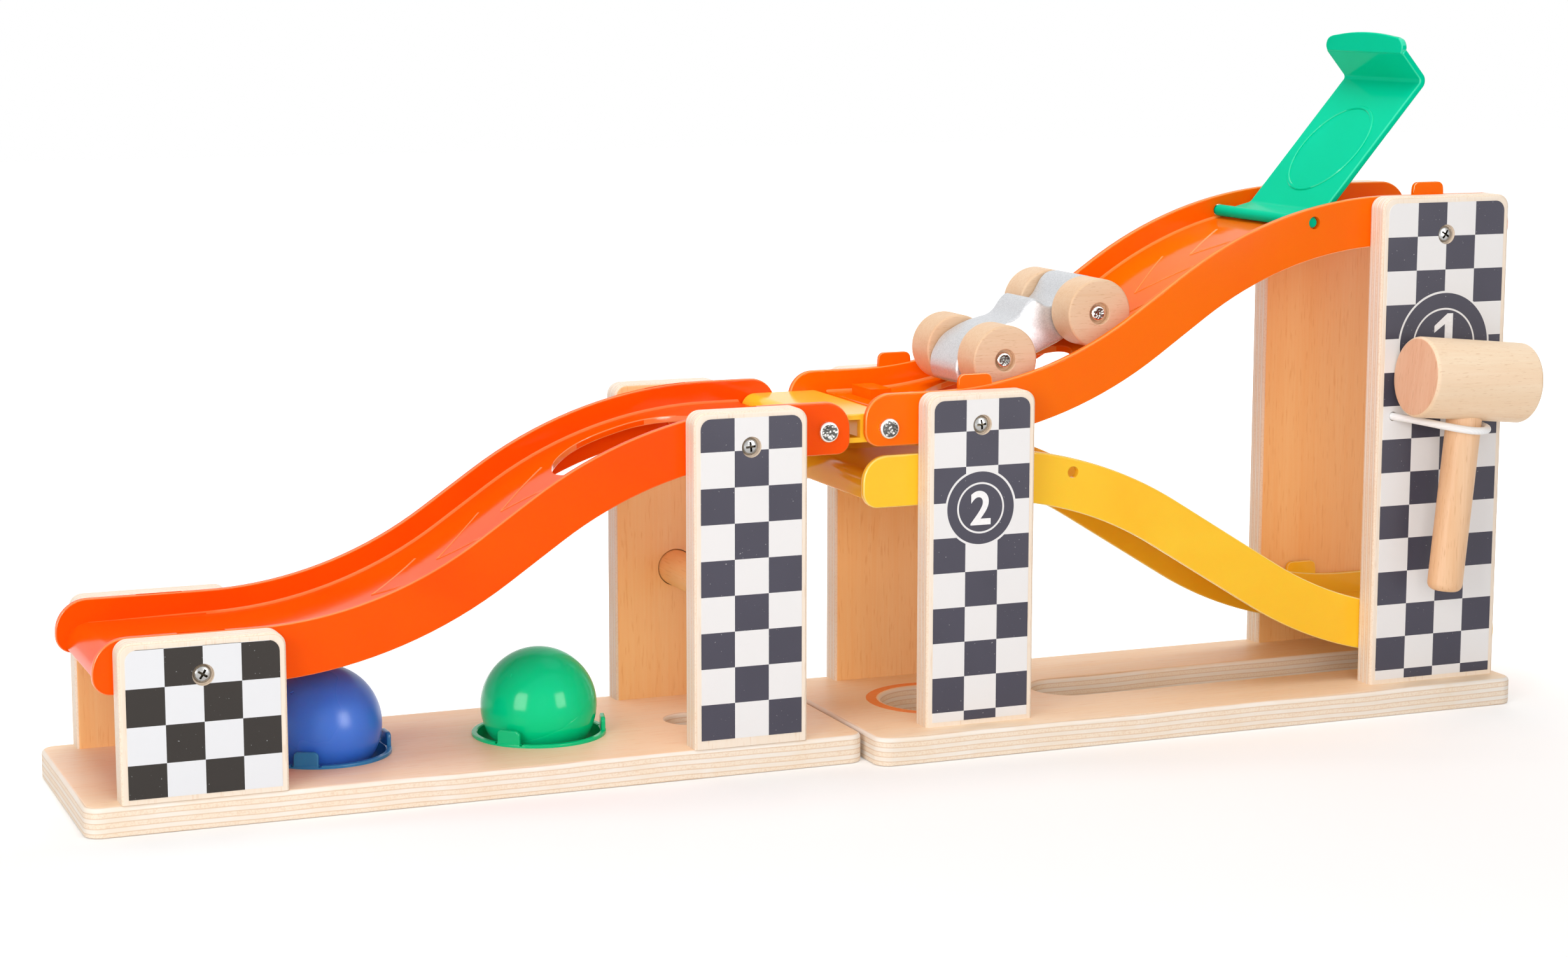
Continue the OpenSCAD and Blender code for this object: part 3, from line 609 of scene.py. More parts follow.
# %% Elastic cord
def braid(name):
    material, r = finish(name)
    ribs = r.add("TexWave", {"Vector": r.place((1, 1, 1.2)), "Scale": 420.0, "Distortion": 1.5,
        "Detail": 2.0}, bands_direction="DIAGONAL").outputs["Fac"]
    fuzz = r.noise(2500, 2)
    r.dress(Base_Color=r.mix(r.spread(ribs, 0, 1), (0.88, 0.88, 0.89), (0.93, 0.93, 0.93)),
        Roughness=r.spread(fuzz, 0.3, 0.7, 0.65, 0.9))
    r.bumps(r.sums("ADD", ribs, fuzz), 0.12, 0.04)
    return material


elastic = braid("white_elastic")
print("cord finish:", elastic.name)

# %% [markdown]
# A piece is done when its edges shade well and it has its finish; it is then hung on the empty of
# the body that carries it, and the CAD nodes it stands for are hidden. Weighted normals keep the big
# flat faces flat beside their small rounded edges.

# %% Finishing a piece
def complete(piece, body, slot, nodes, *finishes):
    alone(piece)
    if piece.type == "MESH":
        bpy.ops.object.shade_smooth_by_angle(angle=math.radians(40))
        modify(piece, "WEIGHTED_NORMAL", keep_sharp=True)
    for material in finishes:
        piece.data.materials.append(material)
    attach(piece, body)
    if nodes:
        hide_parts(*nodes)
    return piece


def paint(piece, index, test):
    """Gives the faces that pass the test the finish with this number; how many."""
    alone(piece)
    chosen = [face for face in piece.data.polygons if test(face)]
    for face in chosen:
        face.material_index = index
    return len(chosen)


complete(loop, "right_frame", "elastic", ["hammer_loop"], elastic)
for piece in knots:
    complete(piece, "right_frame", "elastic", [], elastic)

# %% [markdown]
# The two bases are boards with round corners. Their holes are cut by tools that widen at the ends:
# rims that are bevelled after drilling can crease the big faces, but a flared cutter leaves a soft
# rim by itself. Round cutters are turned; the long slot's is a block with round ends, whose top is
# extruded and widened in steps.

# %% Cutters for the bases
def stadium(x, y, length, width, low, high):
    """A cutter with round ends along X."""
    piece = block("cutter", at(x - length / 2, y - width / 2, low), at(x + length / 2, y + width / 2, high))
    pick(piece, "EDGE", lambda e: runs(e, 2))
    soften(width / 2 - 0.01, 24)
    return piece


def flared_stadium(x, y, length, width, rim):
    """The same through a base, with a top that widens in a quarter circle."""
    piece = stadium(x, y, length, width, -1, BASE_TOP - rim)
    pick(piece, "FACE", lambda f: f.normal.z > 0.9)
    grown = lifted = 0
    for angle in (22.5, 45, 67.5, 90):
        grow, lift = rim * (1 - math.cos(math.radians(angle))), rim * math.sin(math.radians(angle))
        extrude(0, 0, (lift - lifted) * MM)
        bpy.ops.transform.resize(value=((length + 2 * grow) / (length + 2 * grown),
            (width + 2 * grow) / (width + 2 * grown), 1), center_override=at(x, y, BASE_TOP - rim + lift))
        grown, lifted = grow, lift
    extrude(0, 0, MM)
    return piece


def hole_cutter(x, y, radius, rim=1.4):
    """A round cutter through a base, flared at both ends."""
    outline = [(-1, 0), (-1, radius + 0.8)] + rounded(0.8, radius + 0.8, 0.8, -90, -180) + \
        rounded(BASE_TOP - rim, radius + rim, rim, 180, 90) + [(12, radius + rim), (12, 0)]
    return turned("cutter", at(x, y, 0), (0, 0, 1), outline, 96)


FOOT = {POST_X: 13.5, TOWER_X: 17.7}
FOOT_Y = 44


def foot_recesses(x):
    """Recesses for the four screws below a pair of posts."""
    outline = [(-1, 0), (-1, 4.1)] + rounded(0.4, 4.1, 0.4, -90, -180, 3) + [(3, 3.7), (3, 0)]
    return [turned("cutter", at(x + s * FOOT[abs(x)], y, 0), (0, 0, 1), outline, 32)
        for s in (-1, 1) for y in (-FOOT_Y, FOOT_Y)]


print("cutters are ready")

# %% [markdown]
# A board is a cube cut to size. Its upright edges are bevelled in plan and its other edges are
# softened a little, as sanding does, before the holes are drilled.

# %% Base boards
def base_board(node, *cutters):
    low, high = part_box(node)
    piece = block(node + "_board", low, high)
    pick(piece, "EDGE", lambda e: runs(e, 2))
    soften(6, 8)
    for level, size, steps in ((high.z, 1.6, 4), (low.z, 0.8, 2)):
        pick(piece, "EDGE", lambda e: sharp(e) and all(abs(v.co.z - level) < 1e-6 for v in e.verts))
        soften(size, steps)
    drill(piece, *cutters)
    return piece


BALL_EXIT = (50, -4)
RING_HOLE = 24.33
right_base = base_board("right_base", hole_cutter(*BALL_EXIT, 22.5), flared_stadium(180.25, -5, 175, 30, 1.4),
    *foot_recesses(POST_X), *foot_recesses(TOWER_X))
left_base = base_board("left_base", hole_cutter(-53, 0, 10, 1.2),
    *[hole_cutter(BALL_X[colour], 0, RING_HOLE, 0.3) for colour in ("green", "blue")],
    *foot_recesses(-POST_X), *foot_recesses(-TOWER_X))
print("boards with", len(right_base.data.polygons), "and", len(left_base.data.polygons), "faces")

# %% [markdown]
# Round the ball hole of the right base an orange ring is printed on the veneer. A ring of faces would
# stand proud of the wood, so the print is in the finish: a copy of the veneer in which the distance
# from the hole's centre picks the paint. The broad faces get veneer and the rest shows its plies.

# %% Printed ring and base finishes
def ring_print(name, centre, inner, outer, paint_colour):
    material = pale_top.copy()
    material.name = name
    r = Recipe(material.node_tree)
    grain = r.shader.inputs["Base Color"].links[0].from_socket
    edge = r.noise(700, 2)
    far = r.sums("ADD", r.far(centre, (1, 1, 0)), r.spread(edge, 0.3, 0.7, -0.1 * MM, 0.1 * MM))
    inside = r.sums("MULTIPLY", r.spread(far, inner * MM, (inner + 0.1) * MM),
        r.spread(far, (outer - 0.1) * MM, outer * MM, 1, 0))
    worn = r.sums("MULTIPLY", inside, r.spread(edge, 0.25, 0.4, 0.75, 0.95))
    r.dress(Base_Color=r.mix(worn, grain, paint_colour))
    return material


ringed_top = ring_print("pale_base_veneer_with_ring", at(*BALL_EXIT, 0), 24, 28.3, (0.93, 0.26, 0.035))
for piece, node, body, top in ((right_base, "right_base", "right_frame", ringed_top),
        (left_base, "left_base", "left_frame", pale_top)):
    complete(piece, body, "plywood", [node], base_plies, top)
    print(node, "veneered faces:", paint(piece, 1, lambda f: abs(f.normal.z) > 0.9))

# %% [markdown]
# The posts are upright boards with round top corners. They start as cubes too: the top corners are
# bevelled wide, then all edges but the foot are softened. Each has a screw recess, the tower's front
# post also has the two cord holes, and the left tall posts have the blind holes of the dowel.

# %% Posts
SCREWS = {"post2": (POST_X, 126.71), "tower": (TOWER_X, 192.65), "tall": (-POST_X, 123.39),
    "short": (-TOWER_X, 55.05)}
SCREW_Y = 46.5
DOWEL_X, DOWEL_Z = -44.5, 63


def through(x, z, start, end, radius, sides):
    """A round cutter along Y."""
    return bar(at(x, start, z), at(x, end, z), radius, sides)


def post(node, body, side):
    low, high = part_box(node)
    piece = block(node + "_board", low, high)
    pick(piece, "EDGE", lambda e: runs(e, 1) and e.verts[0].co.z > high.z - 1e-6)
    soften(5, 8)
    pick(piece, "EDGE", lambda e: sharp(e) and max(v.co.z for v in e.verts) > low.z + 1e-6)
    soften(1.3, 4)
    x, z = SCREWS[node.split("_")[0]]
    cutters = [through(x, z, side * 50, side * SCREW_Y, 3.9, 48)]
    if node == "tower_front":
        cutters += [through(TOWER_X + q[0], BASE_TOP + q[2], -52, -30, 1.8, 24) for q in (LOOP[1], LOOP[-2])]
    if node.startswith("tall"):
        cutters.append(through(DOWEL_X, DOWEL_Z, side * 30, side * 44, 7.35, 48))
    drill(piece, *cutters)
    face = side * FACE_Y
    pick(piece, "EDGE", lambda e: sharp(e) and all(abs(v.co.y - face * MM) < 1e-6 for v in e.verts)
        and (e.verts[0].co - at(x, face, z)).length < 4.2 * MM)
    soften(0.35, 2)
    complete(piece, body, "veneer", [node], post_plies, honey_painted_shade, pale_face)
    # The inner faces get the honey copy, painted shade and painted warm bounced light; the outer faces get
    # the pale veneer.
    paint(piece, 1, lambda f: f.normal.y * side < -0.9)
    paint(piece, 2, lambda f: f.normal.y * side > 0.9)
    return piece


for frame_body, kinds in (("right_frame", ("post2", "tower")), ("left_frame", ("short", "tall"))):
    for kind in kinds:
        boards = [post(kind + "_front", frame_body, -1), post(kind + "_back", frame_body, 1)]
        print(kind, "posts:", [len(b.data.polygons) for b in boards], "faces")

# %% [markdown]
# A round bar ties the two left tall posts together. It is turned, with small chamfers at its ends,
# and sits in blind holes.

# %% Cross dowel
dowel = turned("cross_dowel_bar", at(DOWEL_X, 0, DOWEL_Z), (0, 1, 0),
    [(-43.8, 0), (-43.8, 6.2), (-43, 7), (-14, 7), (14, 7), (43, 7), (43.8, 6.2), (43.8, 0)], 48)
complete(dowel, "left_frame", "beech", ["cross_dowel"], beech_dowel)
print("dowel of", len(dowel.data.polygons), "faces")

# %% [markdown]
# A track has two upright walls and a floor, which all follow one S-shaped line: a level start, a bend
# up, a straight slope, a bend back and a level end. Two helpers give the slope of that line and its
# height at any place.

# %% Track line
BEND = 160
RAILS = {"left_track": (-288, -232.5, -32.5, -3.2, 58, 127), "upper_track": (3.2, 32.5, 232.5, 288, 129, 198),
    "lower_track": (288, 262, 48, 2.5, 29.5, 105.5)}


def slope_of(run, rise):
    half, lift = run / 2, BEND - rise / 2
    return math.atan2(half, lift) - math.acos(BEND / math.hypot(half, lift))


def climb(x, rail):
    """Height of a track's line at this place, in millimetres."""
    foot, head, low, high = *rail[1:3], *rail[4:]
    run = abs(head - foot)
    slope = slope_of(run, high - low)
    bend = BEND * math.sin(slope)
    u = abs(x - foot) if (x - foot) * (head - foot) > 0 else 0
    if u >= run:
        return high
    if u < bend:
        return low + BEND - math.sqrt(BEND ** 2 - u ** 2)
    if u > run - bend:
        return high - BEND + math.sqrt(BEND ** 2 - (run - u) ** 2)
    return low + BEND - BEND * math.cos(slope) + (u - bend) * math.tan(slope)


for name, rail in RAILS.items():
    slope = slope_of(abs(rail[2] - rail[1]), rail[5] - rail[4])
    print(name, "slopes by", round(math.degrees(slope), 2), "degrees")

# %% [markdown]
# A wall starts as an upright plane: its far edge is spun up round the first bend, extruded straight
# on, spun back round the second bend and extruded to the end. A bend modifier or a curve could do it
# as well, but spin gives true arcs and even faces.

# %% Sweeping a plane
def across(x):
    """A test for the edges that lie across the track at this place."""
    return lambda e: all(abs(v.co.x - at(x, 0, 0).x) < 1e-6 for v in e.verts)


def ribbon(name, y, height, rail):
    """A plane swept along a track: start, foot and head of the ramp, end, and the two heights."""
    start, foot, head, end, low, high = rail
    way = 1 if end > start else -1
    slope = slope_of(abs(head - foot), high - low)
    straight = (abs(head - foot) - 2 * BEND * math.sin(slope)) / math.cos(slope)
    piece = sheet(name, at((start + foot) / 2, y, low), (abs(foot - start), height), (math.pi / 2, 0, 0))
    pick(piece, "EDGE", across(foot))
    bpy.ops.mesh.spin(steps=18, angle=slope, center=at(foot, y, low + BEND), axis=(0, way, 0))
    extrude(*(Vector((way * math.cos(slope), 0, math.sin(slope))) * straight * MM))
    bpy.ops.mesh.spin(steps=18, angle=slope, center=at(head, y, high - BEND), axis=(0, -way, 0))
    extrude((end - head) * MM, 0, 0)
    return piece


def thicken(piece, thickness):
    pick(piece, "FACE")
    extrude(0, thickness * MM, 0)
    bpy.ops.mesh.select_all(action="SELECT")
    bpy.ops.mesh.normals_make_consistent(inside=False)


print("sweeping is ready")

# %% [markdown]
# The swept plane becomes a wall: its four corners are rounded by bevelling single points, it is
# extruded to its thickness, and its rims are softened so that they catch the light. The floor is a
# lower plane, extruded across, with lips that curl down at its ends and edges that rise to the walls.

# %% Track walls and floor
FLOOR_Y = 36.5


def wall(name, side, rail, corners, holes):
    """One wall; corners are the radii at the start's top and foot and the end's, holes are x, z, radius."""
    y = side * WALL_Y - 1.5
    piece = ribbon(name, y, 20, rail)
    start, end, low, high = rail[0], *rail[3:]
    spots = [(start, low + 10), (start, low - 10), (end, high + 10), (end, high - 10)]
    for (x, z), radius in zip(spots, corners):
        pick(piece, "VERT", lambda v: (v.co - at(x, y, z)).length < 1e-5)
        bpy.ops.mesh.bevel(offset=radius * MM, segments=10, affect="VERTICES", profile=0.5)
    thicken(piece, 3)
    pick(piece, "EDGE", lambda e: sharp(e, 60) and not runs(e, 1))
    soften(0.8, 3)
    drill(piece, *[through(x, z, side * 30, side * 45, radius, 32) for x, z, radius in holes])
    return piece


def lipped_floor(name, rail, lips):
    """The floor between the walls; lips are the ends that curl down, as (place, height, way)."""
    piece = ribbon(name, -FLOOR_Y, 2.5, rail)
    for x, z, way in lips:
        pick(piece, "EDGE", across(x))
        bpy.ops.mesh.spin(steps=8, angle=math.radians(78), center=at(x, -FLOOR_Y, z - 7), axis=(0, -way, 0))
        extrude(way * 0.5 * MM, 0, -2.4 * MM)
    thicken(piece, 2 * FLOOR_Y)
    pick(piece, "EDGE", lambda e: sharp(e, 60) and runs(e, 1))
    soften(0.6, 2)
    for y in (-35.4, -34.6, 34.6, 35.4):
        pick(piece, "FACE")
        bpy.ops.mesh.bisect(plane_co=(0, y * MM, 0), plane_no=(0, 1, 0))
    along = lambda v: v.co.x / MM + PIN_X
    for y, lift in ((35.4, 0.3), (FLOOR_Y, 1.4)):
        pick(piece, "VERT", lambda v: abs(abs(v.co.y) - y * MM) < 1e-6 and rail[0] < along(v) < rail[3]
            and v.co.z / MM > climb(along(v), rail))
        bpy.ops.transform.translate(value=(0, 0, lift * MM))
    return piece


sample = wall("sample_wall", 1, RAILS["lower_track"], (12, 6, 10, 6), [(91, 104.5, 2.3)])
print("a wall has", len(sample.data.polygons), "faces and is", round(sample.dimensions.x, 4), "m long")
bpy.data.objects.remove(sample)

# %% [markdown]
# The smaller shapes of a track are made apart and fused to it: locking tabs on the rims, screw bosses
# below the floor, and thin arrows on the floor that point downhill. An arrow is a strip that climbs
# with the floor in short steps, so that it lies on the bend everywhere.

# %% Tabs, bosses and arrows
def lock_tab(x, side, z):
    y = side * WALL_Y
    piece = block("tab", at(x - 7, y - 0.9, z + 7), at(x + 7, y + 0.9, z + 15))
    pick(piece, "EDGE", lambda e: runs(e, 1) and e.verts[0].co.z > at(0, 0, z + 14).z)
    soften(2.5, 5)
    pick(piece, "EDGE", lambda e: sharp(e) and min(v.co.z for v in e.verts) > at(0, 0, z + 10).z)
    soften(0.3, 2)
    return piece


def boss(x, side, z):
    piece = bar(at(x, side * 32, z), at(x, side * 38.4, z), 3.2, 32, "boss")
    pick(piece, "EDGE", lambda e: sharp(e) and abs(e.verts[0].co.y) < 33 * MM)
    soften(0.4, 2)
    return piece


def arrow(x, rail, uphill):
    """A thin rib like a V: its point is at x, and both legs run uphill."""
    steps, length, reach = 8, 21, 15.5
    piece = sheet("arrow", at(x, 0, climb(x, rail) + 1.5), (1.1, 0.02))
    for side in (-1, 1):
        pick(piece, "EDGE", lambda e: runs(e, 0) and 0 < side * e.verts[0].co.y < 0.1 * MM)
        here = climb(x, rail)
        for i in range(1, steps + 1):
            there = climb(x + uphill * length * i / steps, rail)
            extrude(*(Vector((uphill * length / steps, side * reach / steps, there - here)) * MM))
            here = there
    bpy.ops.mesh.select_all(action="SELECT")
    extrude(0, 0, -1 * MM)
    bpy.ops.mesh.select_all(action="SELECT")
    bpy.ops.mesh.normals_make_consistent(inside=False)
    return piece


print("tab, boss and arrow makers are ready")

# %% [markdown]
# Now the tracks are put together. The ball opening is cut while the floor is still a single piece, so
# that its rim can be softened; walls, floor and small parts are then fused into one moulding. The
# upper track comes first; two stop blocks keep its car from rolling off.

# %% Upper track
def track(node, floor_ends, lips, corners, holes, opening, tabs, bosses, arrows, extras=()):
    rail = RAILS[node]
    floor = lipped_floor(node + "_floor", (floor_ends[0], *rail[1:3], floor_ends[1], *rail[4:]), lips)
    if opening:
        x, z = opening
        drill(floor, stadium(x, 0, 60, 48, z - 45, z + 45))
        on_rim = lambda e: sharp(e) and all(abs(v.co.y) < 24.5 * MM
            and abs(v.co.x - at(x, 0, 0).x) < 30.5 * MM for v in e.verts)
        pick(floor, "EDGE", on_rim)
        bpy.ops.mesh.remove_doubles(threshold=1.0 * MM)
        pick(floor, "EDGE", on_rim)
        soften(0.4, 2)
    piece = wall(node + "_moulding", -1, rail, corners, holes)
    parts = [wall("wall", 1, rail, corners, holes), floor]
    parts += [lock_tab(x, s, climb(x, rail)) for x in tabs for s in (-1, 1)]
    parts += [boss(x, s, z) for x, z in bosses for s in (-1, 1)]
    uphill = 1 if rail[2] > rail[1] else -1
    parts += [arrow(x, rail, uphill) for x in arrows]
    return fuse(piece, *parts, *extras)


FLAP_X, FLAP_Z = 196.5, 198.05
stops = [block("stop", at(25.7, s * 17 - 9, 128.5), at(34.7, s * 17 + 9, 134.3)) for s in (-1, 1)]
upper_track = track("upper_track", (18.7, 276), [(276, 198, 1)], (10, 6, 12, 6),
    [(PIN_X, PIN_Z, 2.03), (FLAP_X, FLAP_Z, 2.5)], (77, 135), (49, 249.5), (SCREWS["post2"], SCREWS["tower"]),
    (113, 138, 163), stops)
print("upper track:", len(upper_track.data.polygons), "faces")

# %% [markdown]
# The left track mirrors the upper one, and has slots for its locking tabs when the toy is folded. The
# lower track falls the other way and curls down at both ends. Faces on the rounded rims are found by
# their slanted normals and get the paler rim finish, a painted highlight.

# %% Left and lower tracks
left_track = track("left_track", (-276, -18.7), [(-276, 58, -1)], (12, 6.5, 10, 5), [(-PIN_X, PIN_Z, 2.03)],
    (-77, 120), (), (SCREWS["tall"], SCREWS["short"]), (-128, -153, -178))
slots = [(x, s * WALL_Y, climb(x, RAILS["left_track"])) for x in (-49, -249.5) for s in (-1, 1)]
drill(left_track, *[block("cutter", at(x - 8.5, y - 0.8, z + 4), at(x + 8.5, y + 0.8, z + 20))
    for x, y, z in slots])
lower_track = track("lower_track", (276, 14.5), [(276, 29.5, 1), (14.5, 105.5, -1)], (12, 6, 10, 6),
    [(91, 104.5, 2.3)], None, (241.5,), (), ())
# The rim faces get the paler mix, a painted highlight.
on_rim = lambda f: 0.25 < abs(f.normal.y) < 0.95
for piece, body, slot, node, skins in (
        (upper_track, "right_frame", "orange_plastic", "upper_track", (right_orange, right_rim_painted_highlight)),
        (left_track, "left_frame", "orange_plastic", "left_track", (left_orange, left_rim_painted_highlight)),
        (lower_track, "right_frame", "yellow_plastic", "lower_track", (yellow, yellow_rim_painted_highlight))):
    complete(piece, body, slot, [node], *skins)
    print(node, "has", len(piece.data.polygons), "faces,", paint(piece, 1, on_rim), "of them on rims")

# %% [markdown]
# The folding link is a yellow bar with round ends, hollow from below, with a small window at each
# side. A cube whose long edges are bevelled to nearly half its height gives the round ends; pocket,
# window and pin holes are drilled.

# %% Folding link
folding_link = block("folding_link", *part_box("link"))
pick(folding_link, "EDGE", lambda e: runs(e, 1))
soften(5.45, 10)
pick(folding_link, "EDGE", lambda e: sharp(e, 60))
soften(0.5, 2)
drill(folding_link, block("cutter", at(-8.2, -32.5, 118), at(8.2, 32.5, 129.8)))
drill(folding_link, block("cutter", at(-2.5, -40, 122.4), at(2.5, 40, 129.3)))
drill(folding_link, *[through(x, PIN_Z, -40, 40, 2.05, 32) for x in (-PIN_X, PIN_X)])
complete(folding_link, "link", "yellow_plastic", ["link"], yellow)
print("link of", len(folding_link.data.polygons), "faces")

# %% [markdown]
# Hinge pins and axles are steel rods with a pressed cap at each end. One turned outline makes the
# whole pin: half a cap, the rod and the other cap.

# %% Hinge pins and axles
AXLES = {"low": Vector((0.053883, 0, 0.148042)), "high": Vector((0.094445, 0, 0.164568))}
ROD = 2


def capped_pin(name, centre, end, radius, height):
    """A rod with caps; end is where a cap starts, and the cap has this radius and height."""
    top = end + height
    half = [(top - 0.25, 0), (top - 0.1, radius * 0.45), (top, radius * 0.62)] + \
        rounded(top - 1.0, radius - 1.0, 1.0, 80, 0, 4) + [(end, radius), (end, ROD)]
    return turned(name, centre, (0, 1, 0), half + [(-a, r) for a, r in reversed(half)], 40)


pins = [("hinge_pin_" + side, side + "_frame", at(x, 0, PIN_Z), 39, 4, 2.2)
    for side, x in (("right", PIN_X), ("left", -PIN_X))]
pins += [("axle_" + end, "car", centre, 26.3, 3.15, 1.9) for end, centre in AXLES.items()]
for node, body, *shape in pins:
    pin = complete(capped_pin(node + "_steel", *shape), body, "nickel", [node], cap_rim_painted_highlight, cap_face_painted_reflection)
    # The caps' flat faces get the dark copy, a painted dark reflection; the rest of the pin the bright one, a
    # painted highlight.
    print(pin.name, "has", paint(pin, 1, lambda f: abs(f.normal.y) > 0.97), "faces on its caps")

# %% [markdown]
# The wheels are beech discs with rounded rims and a recess for the axle's cap. They are turned, one
# outline for all four; the recess faces outwards on both sides of the car.

# %% Wheels
def wheel(end, face):
    side = -1 if face == "front" else 1
    outline = [(0, 2.05), (0, 12)] + rounded(0.9, 12.6, 0.9, -90, 0) + rounded(14.6, 12.6, 0.9, 0, 90) + \
        [(15.5, 4.7), (15.2, 4.3), (12.5, 4.3), (12.5, 2.05), (0, 2.05)]
    node = "wheel_" + end + "_" + face
    piece = turned(node + "_beech", AXLES[end] + Vector((0, side * 13.5 * MM, 0)), (0, side, 0), outline, 72)
    return complete(piece, node, "beech", [node], beech_wheel)


wheels = [wheel(end, face) for end in AXLES for face in ("front", "back")]
print("wheels:", [len(w.data.polygons) for w in wheels], "faces")

# %% [markdown]
# The car's body is one block of wood, sawn to a side view with a nose, a cockpit and a tail, then
# sprayed silver. The side view is a flat shape, made a mesh and tilted to the track.

# %% Car body
BODY_LINE = [(-36, -5.5), (-36.5, -1.5), (-35.5, 1.5), (-33.8, 4), (-31, 6.4), (-27, 8.6), (-22, 9.5),
    (-16, 9.7), (-10, 9), (-6, 8.5), (-3, 9.2), (0, 11), (3, 12.4), (5, 12.4), (7, 10.2), (9, 7.8), (12, 6.8),
    (15, 7.6), (18, 9.8), (21.5, 12.2), (25, 12.9), (28.5, 11.8), (32, 9.2), (34.5, 5.8), (35.5, 1.5),
    (35, -3), (33, -5.5)]
UPRIGHT = Matrix.Rotation(math.pi / 2, 4, "X")
axle_way = AXLES["high"] - AXLES["low"]
tilt = math.atan2(axle_way.z, axle_way.x)
car_mid = (AXLES["low"] + AXLES["high"]) / 2
car_body = put(as_mesh(flat_shape("car_body", BODY_LINE, 12.5, 1.4)), "car_body_block",
    Matrix.Translation(car_mid) @ Matrix.Rotation(-tilt, 4, "Y") @ UPRIGHT)
heal(car_body)
half = Vector((0, 0.03, 0))
drill(car_body, *[bar(centre - half, centre + half, 2.03, 32) for centre in AXLES.values()])
complete(car_body, "car", "silver_paint", ["car_body"], car_silver)
print("car body of", len(car_body.data.polygons), "faces, tilted by", round(math.degrees(tilt), 2), "degrees")

# %% [markdown]
# The hammer is a beech head on a round handle. Both are turned about their own axes, which lean as
# the hammer hangs in its loop. The head's end faces get the end grain.

# %% Hammer
LEAN = math.radians(5.5)
head_mid = at(253, -65.6, 136)
head_axis = Vector((math.cos(LEAN), 0, -math.sin(LEAN)))
grip_axis = Vector((math.sin(LEAN), 0, math.cos(LEAN)))
head_half = [(0, 16)] + rounded(23.4, 14.4, 1.6, 0, 80, 5) + [(25, 13.5), (25, 6), (25, 0)]
hammer_head = turned("hammer_head_beech", head_mid, head_axis,
    [(-a, r) for a, r in reversed(head_half)] + head_half[1:], 96)
drill(hammer_head, bar(head_mid - grip_axis * 20 * MM, head_mid + grip_axis * 8 * MM, 7.03, 48))
complete(hammer_head, "hammer", "beech", ["hammer_head"], beech_head, beech_end)
ends = paint(hammer_head, 1, lambda f: abs(f.normal.dot(head_axis)) > 0.9)
grip = [(-85, 0)] + rounded(-82, 4, 3, -90, 0, 6) + [(-40, 7), (-16, 7), (7.2, 7), (7.6, 6.6), (7.6, 0)]
hammer_handle = turned("hammer_handle_beech", head_mid, grip_axis, grip, 48)
complete(hammer_handle, "hammer", "beech", ["hammer_handle"], beech_handle)
print("hammer head with", ends, "end faces, handle of", len(hammer_handle.data.polygons), "faces")

# %% [markdown]
# The balls are smooth plastic shells, moulded in two halves. A fine sphere would do, but the real
# ones show a hairline where the halves meet and a small pip where the plastic went in. So one ring
# of edges is bevelled and pushed in a little, and one face near the top is inset and sunk.

# %% Balls
def ball(name, centre, radius, turn):
    alone()
    bpy.ops.mesh.primitive_uv_sphere_add(segments=96, ring_count=48, radius=radius * MM, location=centre,
        rotation=turn)
    piece = settle(name)
    axis = Matrix.Rotation(turn[1], 3, "Y") @ Matrix.Rotation(turn[0], 3, "X") @ Vector((0, 0, 1))
    on_seam = lambda v: abs((v.co - centre).dot(axis)) < 0.05 * MM
    seam = pick(piece, "EDGE", lambda e: all(on_seam(v) for v in e.verts))
    soften(0.16, 2)
    pick(piece, "VERT", on_seam)
    bpy.ops.transform.resize(value=(0.9955, 0.9955, 0.9955), center_override=centre)
    gate = centre + Vector((-0.62, -0.45, 0.64)).normalized() * radius * MM
    alone(piece)
    nearest = min(piece.data.polygons, key=lambda f: (f.center - gate).length).index
    pick(piece, "FACE", lambda f: f.index == nearest)
    bpy.ops.mesh.inset(thickness=0.2 * MM)
    bpy.ops.transform.translate(value=(centre - gate).normalized() * 0.25 * MM)
    print(name, "with a seam of", seam, "edges")
    return piece


for colour, turn, skin in (("blue", (0.5, 0.35, 0), ball_blue_skin),
        ("green", (0.25, -0.45, 0), ball_green_skin)):
    piece = ball("ball_" + colour + "_shell", at(BALL_X[colour], 0, 22.1), 22, turn)
    complete(piece, "ball_" + colour, colour + "_plastic", ["ball_" + colour], skin)

# %% [markdown]
# Each ball sits in a plastic ring that is pressed into the base. The ring is turned. Three upright
# grips with rounded tops are fused to its rim, and thin slits beside them let the grips bend. One
# grip and one pair of slits are made, then copied round the ring.

# %% Seat rings
def small_block(name, low, high):
    """A block in millimetres from the origin."""
    return block(name, Vector(low) * MM, Vector(high) * MM)


def grip_block():
    piece = small_block("grip", (23.3, -4.6, 11.5), (25, 4.6, 17.2))
    pick(piece, "EDGE", lambda e: runs(e, 0) and e.verts[0].co.z > 17 * MM)
    soften(1.8, 6)
    pick(piece, "EDGE", lambda e: sharp(e) and max(v.co.z for v in e.verts) > 12 * MM)
    soften(0.5, 3)
    return piece


